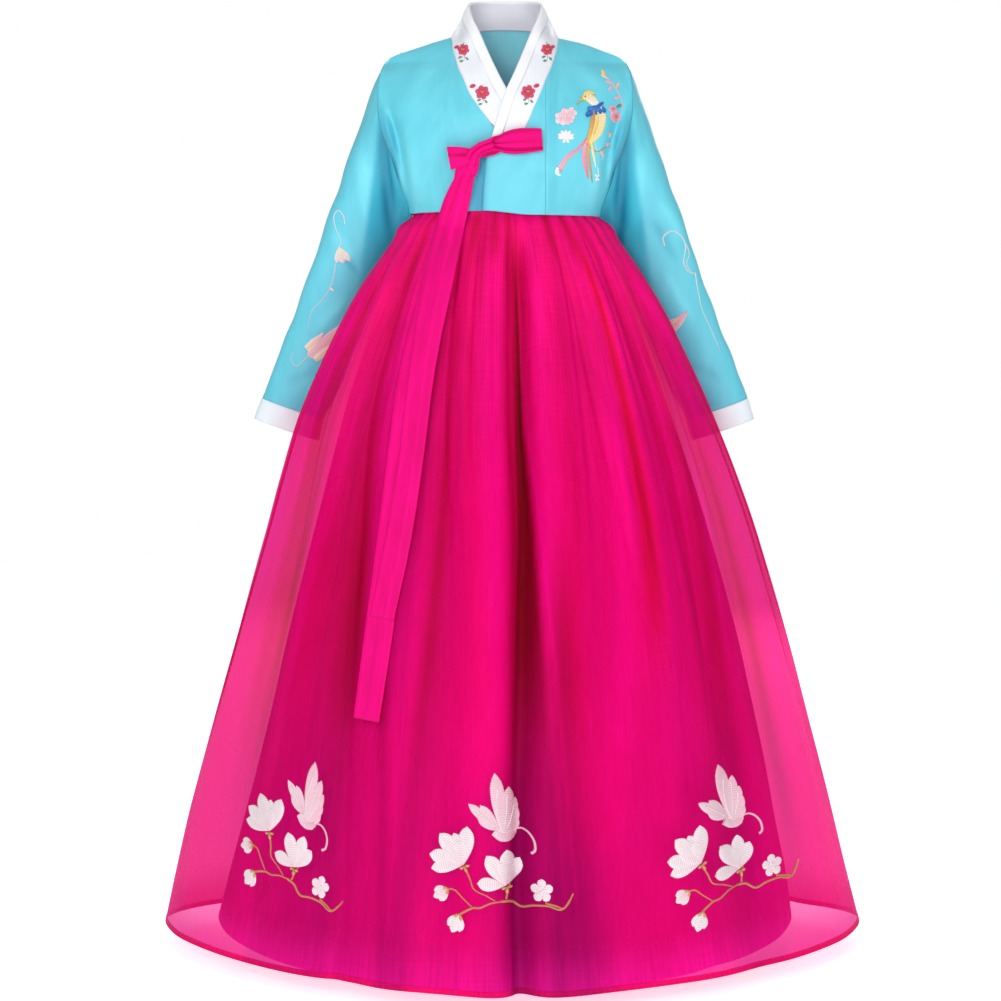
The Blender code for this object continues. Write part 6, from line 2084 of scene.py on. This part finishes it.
def chest_vine(work):
    """A vine with leaves and two blossoms."""
    work.cord(CHEST_VINE, 0.9, PALE_PINK)
    for x, z, angle, length in VINE_LEAVES:
        tip = LEMON if angle < 150 else PALE_PINK
        work.petal((x, z), angle, length, 4.8, (PALE_PINK, tip), 0.4)
    blossom(work, (159, -116), 9, 6, (PINK, PALE_PINK), RUST, 20)
    blossom(work, (154.5, -106), 6, 5, (PINK, PALE_PINK), RUST, 50)
    work.petal((160, -103), 30, 9, 5, (LEAF, LEAF_PALE), 0.4)


def chest_bird(target):
    """A long-tailed bird on a twig, with a peony, a lotus and a blossoming vine round it."""
    work = Needlework("chest_embroidery", from_view(-1, (0, 0), 0, [target]))
    bird(work)
    twig(work)
    peony(work, 86.5, -118.5)
    for angle, length in LOTUS_PETALS:
        work.petal((86.5, -150), angle, length, 4.6, (THREAD_WHITE, THREAD_WHITE), 0.5)
    chest_vine(work)
    work.finish()


# The collar's flowers, on both sides, and the buds above them.
CollarFlower = namedtuple("CollarFlower", "x z bud_x bud_z size")
COLLAR_FLOWERS = table_of(CollarFlower, (60, -20, 69, -17, 8.8), (32.5, -85, 45.5, -78, 10.6))


def collar_flower(work, sign, x, z, bud_x, bud_z, size):
    """A red flower with a bud over it and leaves under it, on the wearer's left for sign 1."""
    x, bud_x = sign * x, sign * bud_x
    for k in range(6):
        work.petal((x, z), 60 * k + 14 * sign, size, size * 0.72, (RED, ROSE), 0.3 + 0.2 * (k % 2))
    for k in range(3):
        work.petal((x, z), 30 + 120 * k, size * 0.34, size * 0.28, (GOLD, RED), 1.2)
    for angle in (70, 110, 150):
        work.petal((bud_x, bud_z), angle, size * 0.55, size * 0.4, (RED, ROSE), 0.3)
    for off_x, off_z, angle in ((-1.5, -10, 200), (3, -11, -50), (0.5, -16.5, 190)):
        work.petal((x + off_x, z + off_z), angle, 6.2, 3.2, (LEAF, LEAF_PALE), 0.3)
    work.cord([(x + 1, z - 6), (x + 1.2, z - 15)], 0.4, LEAF_PALE)
    for angle in (75, 105):
        work.cord([(x, z + 8), (x + 4 * math.cos(math.radians(angle)), z + 11.5)], 0.3, LEAF_PALE)


def collar_flowers(targets):
    """Four small red flowers down the collar, two on each side."""
    work = Needlework("collar_embroidery", from_view(-1, (0, 0), 0, targets))
    for sign in (-1, 1):
        for flower in COLLAR_FLOWERS:
            collar_flower(work, sign, *flower)
    work.finish()


# On the sleeves, by x outward and z in millimetres: 1 is the wearer's left one, -1 the right one.
SLEEVE_STEMS = {
    1: table_of(
        Stem,
        (1.1, ((236, -299), (234, -286), (247, -277), (262, -286), (268, -300), (265, -322),
               (272, -336), (284, -339))),
        (0.6, ((269, -296), (274, -310), (270, -326), (280, -340))),
        (0.7, ((284, -339), (287, -358), (294, -390), (306, -416), (316, -437), (323, -453))),
    ),
    -1: table_of(
        Stem,
        (0.8, ((236, -268), (238, -256), (246, -247), (253, -257), (250, -274), (243, -290),
               (245, -302))),
        (0.7, ((250, -322), (258, -356), (272, -378), (290, -397), (295, -426))),
        (0.6, ((288, -458), (300, -466), (314, -478), (322, -466), (318, -458))),
    ),
}
# The petals' angles are those on the left sleeve.
SleevePetal = namedtuple("SleevePetal", "x z angle length width")
SLEEVE_PETALS = {
    1: (),
    -1: table_of(
        SleevePetal, (246, -300, 278, 24, 9), (246, -300, 232, 27, 9), (246, -301, 255, 25, 11),
        (262, -360, 215, 9, 4)),
}
# The lobes of a winged flower low on each sleeve.
Lobe = namedtuple("Lobe", "spine halves")
SLEEVE_WINGS = {
    1: table_of(
        Lobe,
        (((240, -424), (250, -420), (262, -408), (272, -396)), (4.0, 8.0, 6.0, 0.8)),
        (((238, -414), (248, -412), (260, -405)), (3.0, 4.0, 0.8)),
    ),
    -1: table_of(
        Lobe,
        (((296, -462), (284, -455), (264, -438), (240, -412)), (3.0, 9.5, 9.0, 1.0)),
        (((298, -452), (288, -444), (272, -428)), (5.0, 6.5, 1.2)),
        (((286, -468), (276, -460), (262, -446)), (4.0, 5.5, 1.0)),
    ),
}


def sleeve_vine(name, sign, target):
    """A curling stem down a sleeve, with a small flower and a winged one, on the wearer's left for
    sign 1."""
    work = Needlework(name, from_view(-1, (0, 0), 0, [target]))

    def put(points):
        return [(sign * x, z) for x, z in points]

    for stem in SLEEVE_STEMS[sign]:
        work.cord(put(stem.points), stem.half, VINE, 0.8)
    for petal in SLEEVE_PETALS[sign]:
        turned = petal.angle if sign > 0 else 180 - petal.angle
        work.petal((sign * petal.x, petal.z), turned, petal.length, petal.width, (CREAM, VINE), 0.3)
    for order, lobe in enumerate(SLEEVE_WINGS[sign]):
        colours = (PETAL_BLUSH, PETAL_ROSE) if order == 0 else (CREAM, PETAL_BLUSH)
        work.stroke(put(lobe.spine), lobe.halves, colours, 1.0, 0.2 + 0.4 * order, 18, 9)
        middle = [mix(np.array(a), np.array(b), 0.5) for a, b in zip(lobe.spine, lobe.spine[1:])]
        rib = put([lobe.spine[0], *middle, lobe.spine[-1]])
        work.cord(rib, 0.5, GOLD, 0.6, 1.1 + 0.4 * order)
    work.finish()


def build_embroidery():
    """Three sprays on the skirt's front, three on its back, and the jacket's motifs."""
    for side, end, apart in ((-1, "front", 1.0), (1, "back", 0.88)):
        for place, (x, z), turn, across in SPRAYS:
            place_on = from_view(side, (x * apart, z), turn, ["chima_shell"], across)
            spray(f"spray_{end}_{place}", place_on)
    chest_bird("jeogori_front_left")
    collar_flowers(["collar_band", "collar_strip"])
    sleeve_vine("sleeve_vine_left", 1, "sleeve_left")
    sleeve_vine("sleeve_vine_right", -1, "sleeve_right")


# ---- Studio ----------------------------------------------------------------------------

CAMERA_DISTANCE = 3.75
CAMERA_PITCH = math.radians(4)
CAMERA_AIM = Vector((-0.0067, 0.0, -0.6754))
PICTURE_SIZE = 1001  # pixels
FOCAL_PIXELS = 2531
SENSOR_WIDTH = 36.0
FLOOR_GAP = 0.012  # the hem hangs this far over the floor
FLOOR_HALF = 6.0
FLOOR_GREYS = (0.93, 0.95)
FLOOR_GLOW = 0.63
AMBIENT = 0.37
WHITE = (1.0, 1.0, 1.0, 1.0)

Light = namedtuple("Light", "name place aim_z size power")
LIGHTS = table_of(
    Light,
    ("key", (-1.1, -4.1, 0.6), -0.6, 1.8, 79.0),
    ("fill", (1.9, -3.5, 0.0), -0.6, 2.4, 26.5),
    ("top", (0.0, -0.6, 2.6), -0.4, 2.0, 21.0),
    ("back", (0.6, 3.8, 0.8), -0.6, 2.4, 60.0),
)


def build_camera():
    """The photo's view: from the front, a little above."""
    data = bpy.data.cameras.new("camera")
    data.sensor_width = SENSOR_WIDTH
    data.lens = SENSOR_WIDTH * FOCAL_PIXELS / PICTURE_SIZE
    camera = linked("camera", data)
    back = Vector((0.0, -math.cos(CAMERA_PITCH), math.sin(CAMERA_PITCH)))
    camera.location = CAMERA_AIM + CAMERA_DISTANCE * back
    camera.rotation_euler = (math.pi / 2 - CAMERA_PITCH, 0.0, 0.0)
    bpy.context.scene.camera = camera


def floor_look():
    """A white floor that glows a little, so that it is as bright as the background."""
    look = Look("studio_floor")
    look.place = look.node("ShaderNodeTexCoord").outputs["Object"]
    dark, light = [(grey, grey, grey, 1) for grey in FLOOR_GREYS]
    tone = look.blend(look.noise(3, 3, 2), dark, light)
    return look.finish(look.principled(
        Base_Color=tone, Roughness=0.9, Specular_IOR_Level=0.1, Emission_Color=WHITE,
        Emission_Strength=FLOOR_GLOW))


def build_floor():
    z = CAD_BOX[0][2] - FLOOR_GAP
    corners = [(FLOOR_HALF * x, FLOOR_HALF * y, z) for x, y in ((-1, -1), (1, -1), (1, 1), (-1, 1))]
    data = bpy.data.meshes.new("floor")
    data.from_pydata(corners, [], [(0, 1, 2, 3)])
    data.materials.append(floor_look())
    linked("floor", data)


def build_world():
    """Even white light from all round, and a white background behind the garment."""
    world = bpy.data.worlds.new("studio")
    world.use_nodes = True
    tree = world.node_tree
    lighting, seen = tree.nodes["Background"], tree.nodes.new("ShaderNodeBackground")
    for background, strength in ((lighting, AMBIENT), (seen, 1.0)):
        background.inputs["Color"].default_value = WHITE
        background.inputs["Strength"].default_value = strength
    to_camera = tree.nodes.new("ShaderNodeLightPath").outputs["Is Camera Ray"]
    chosen = tree.nodes.new("ShaderNodeMixShader")
    for socket, source in enumerate((to_camera, lighting.outputs[0], seen.outputs[0])):
        tree.links.new(source, chosen.inputs[socket])
    tree.links.new(chosen.outputs[0], tree.nodes["World Output"].inputs["Surface"])
    bpy.context.scene.world = world


def build_lights():
    for light in LIGHTS:
        data = bpy.data.lights.new(light.name, "AREA")
        data.size = light.size
        data.energy = light.power
        made = linked(light.name, data)
        made.location = light.place
        towards = Vector((0.0, 0.0, light.aim_z)) - Vector(light.place)
        made.rotation_euler = towards.to_track_quat("-Z", "Y").to_euler()


def build_studio():
    build_camera()
    build_floor()
    build_world()
    build_lights()
    bpy.context.scene.view_settings.view_transform = "Standard"
    bpy.context.scene.view_settings.look = "None"


# ---- The whole set ---------------------------------------------------------------------

build_panels()
build_sleeve("left", 1)
build_sleeve("right", -1)
build_collar()
build_skirt()
build_tie()
build_embroidery()
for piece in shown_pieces():
    if "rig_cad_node" not in piece:
        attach(piece, "root")
build_studio()
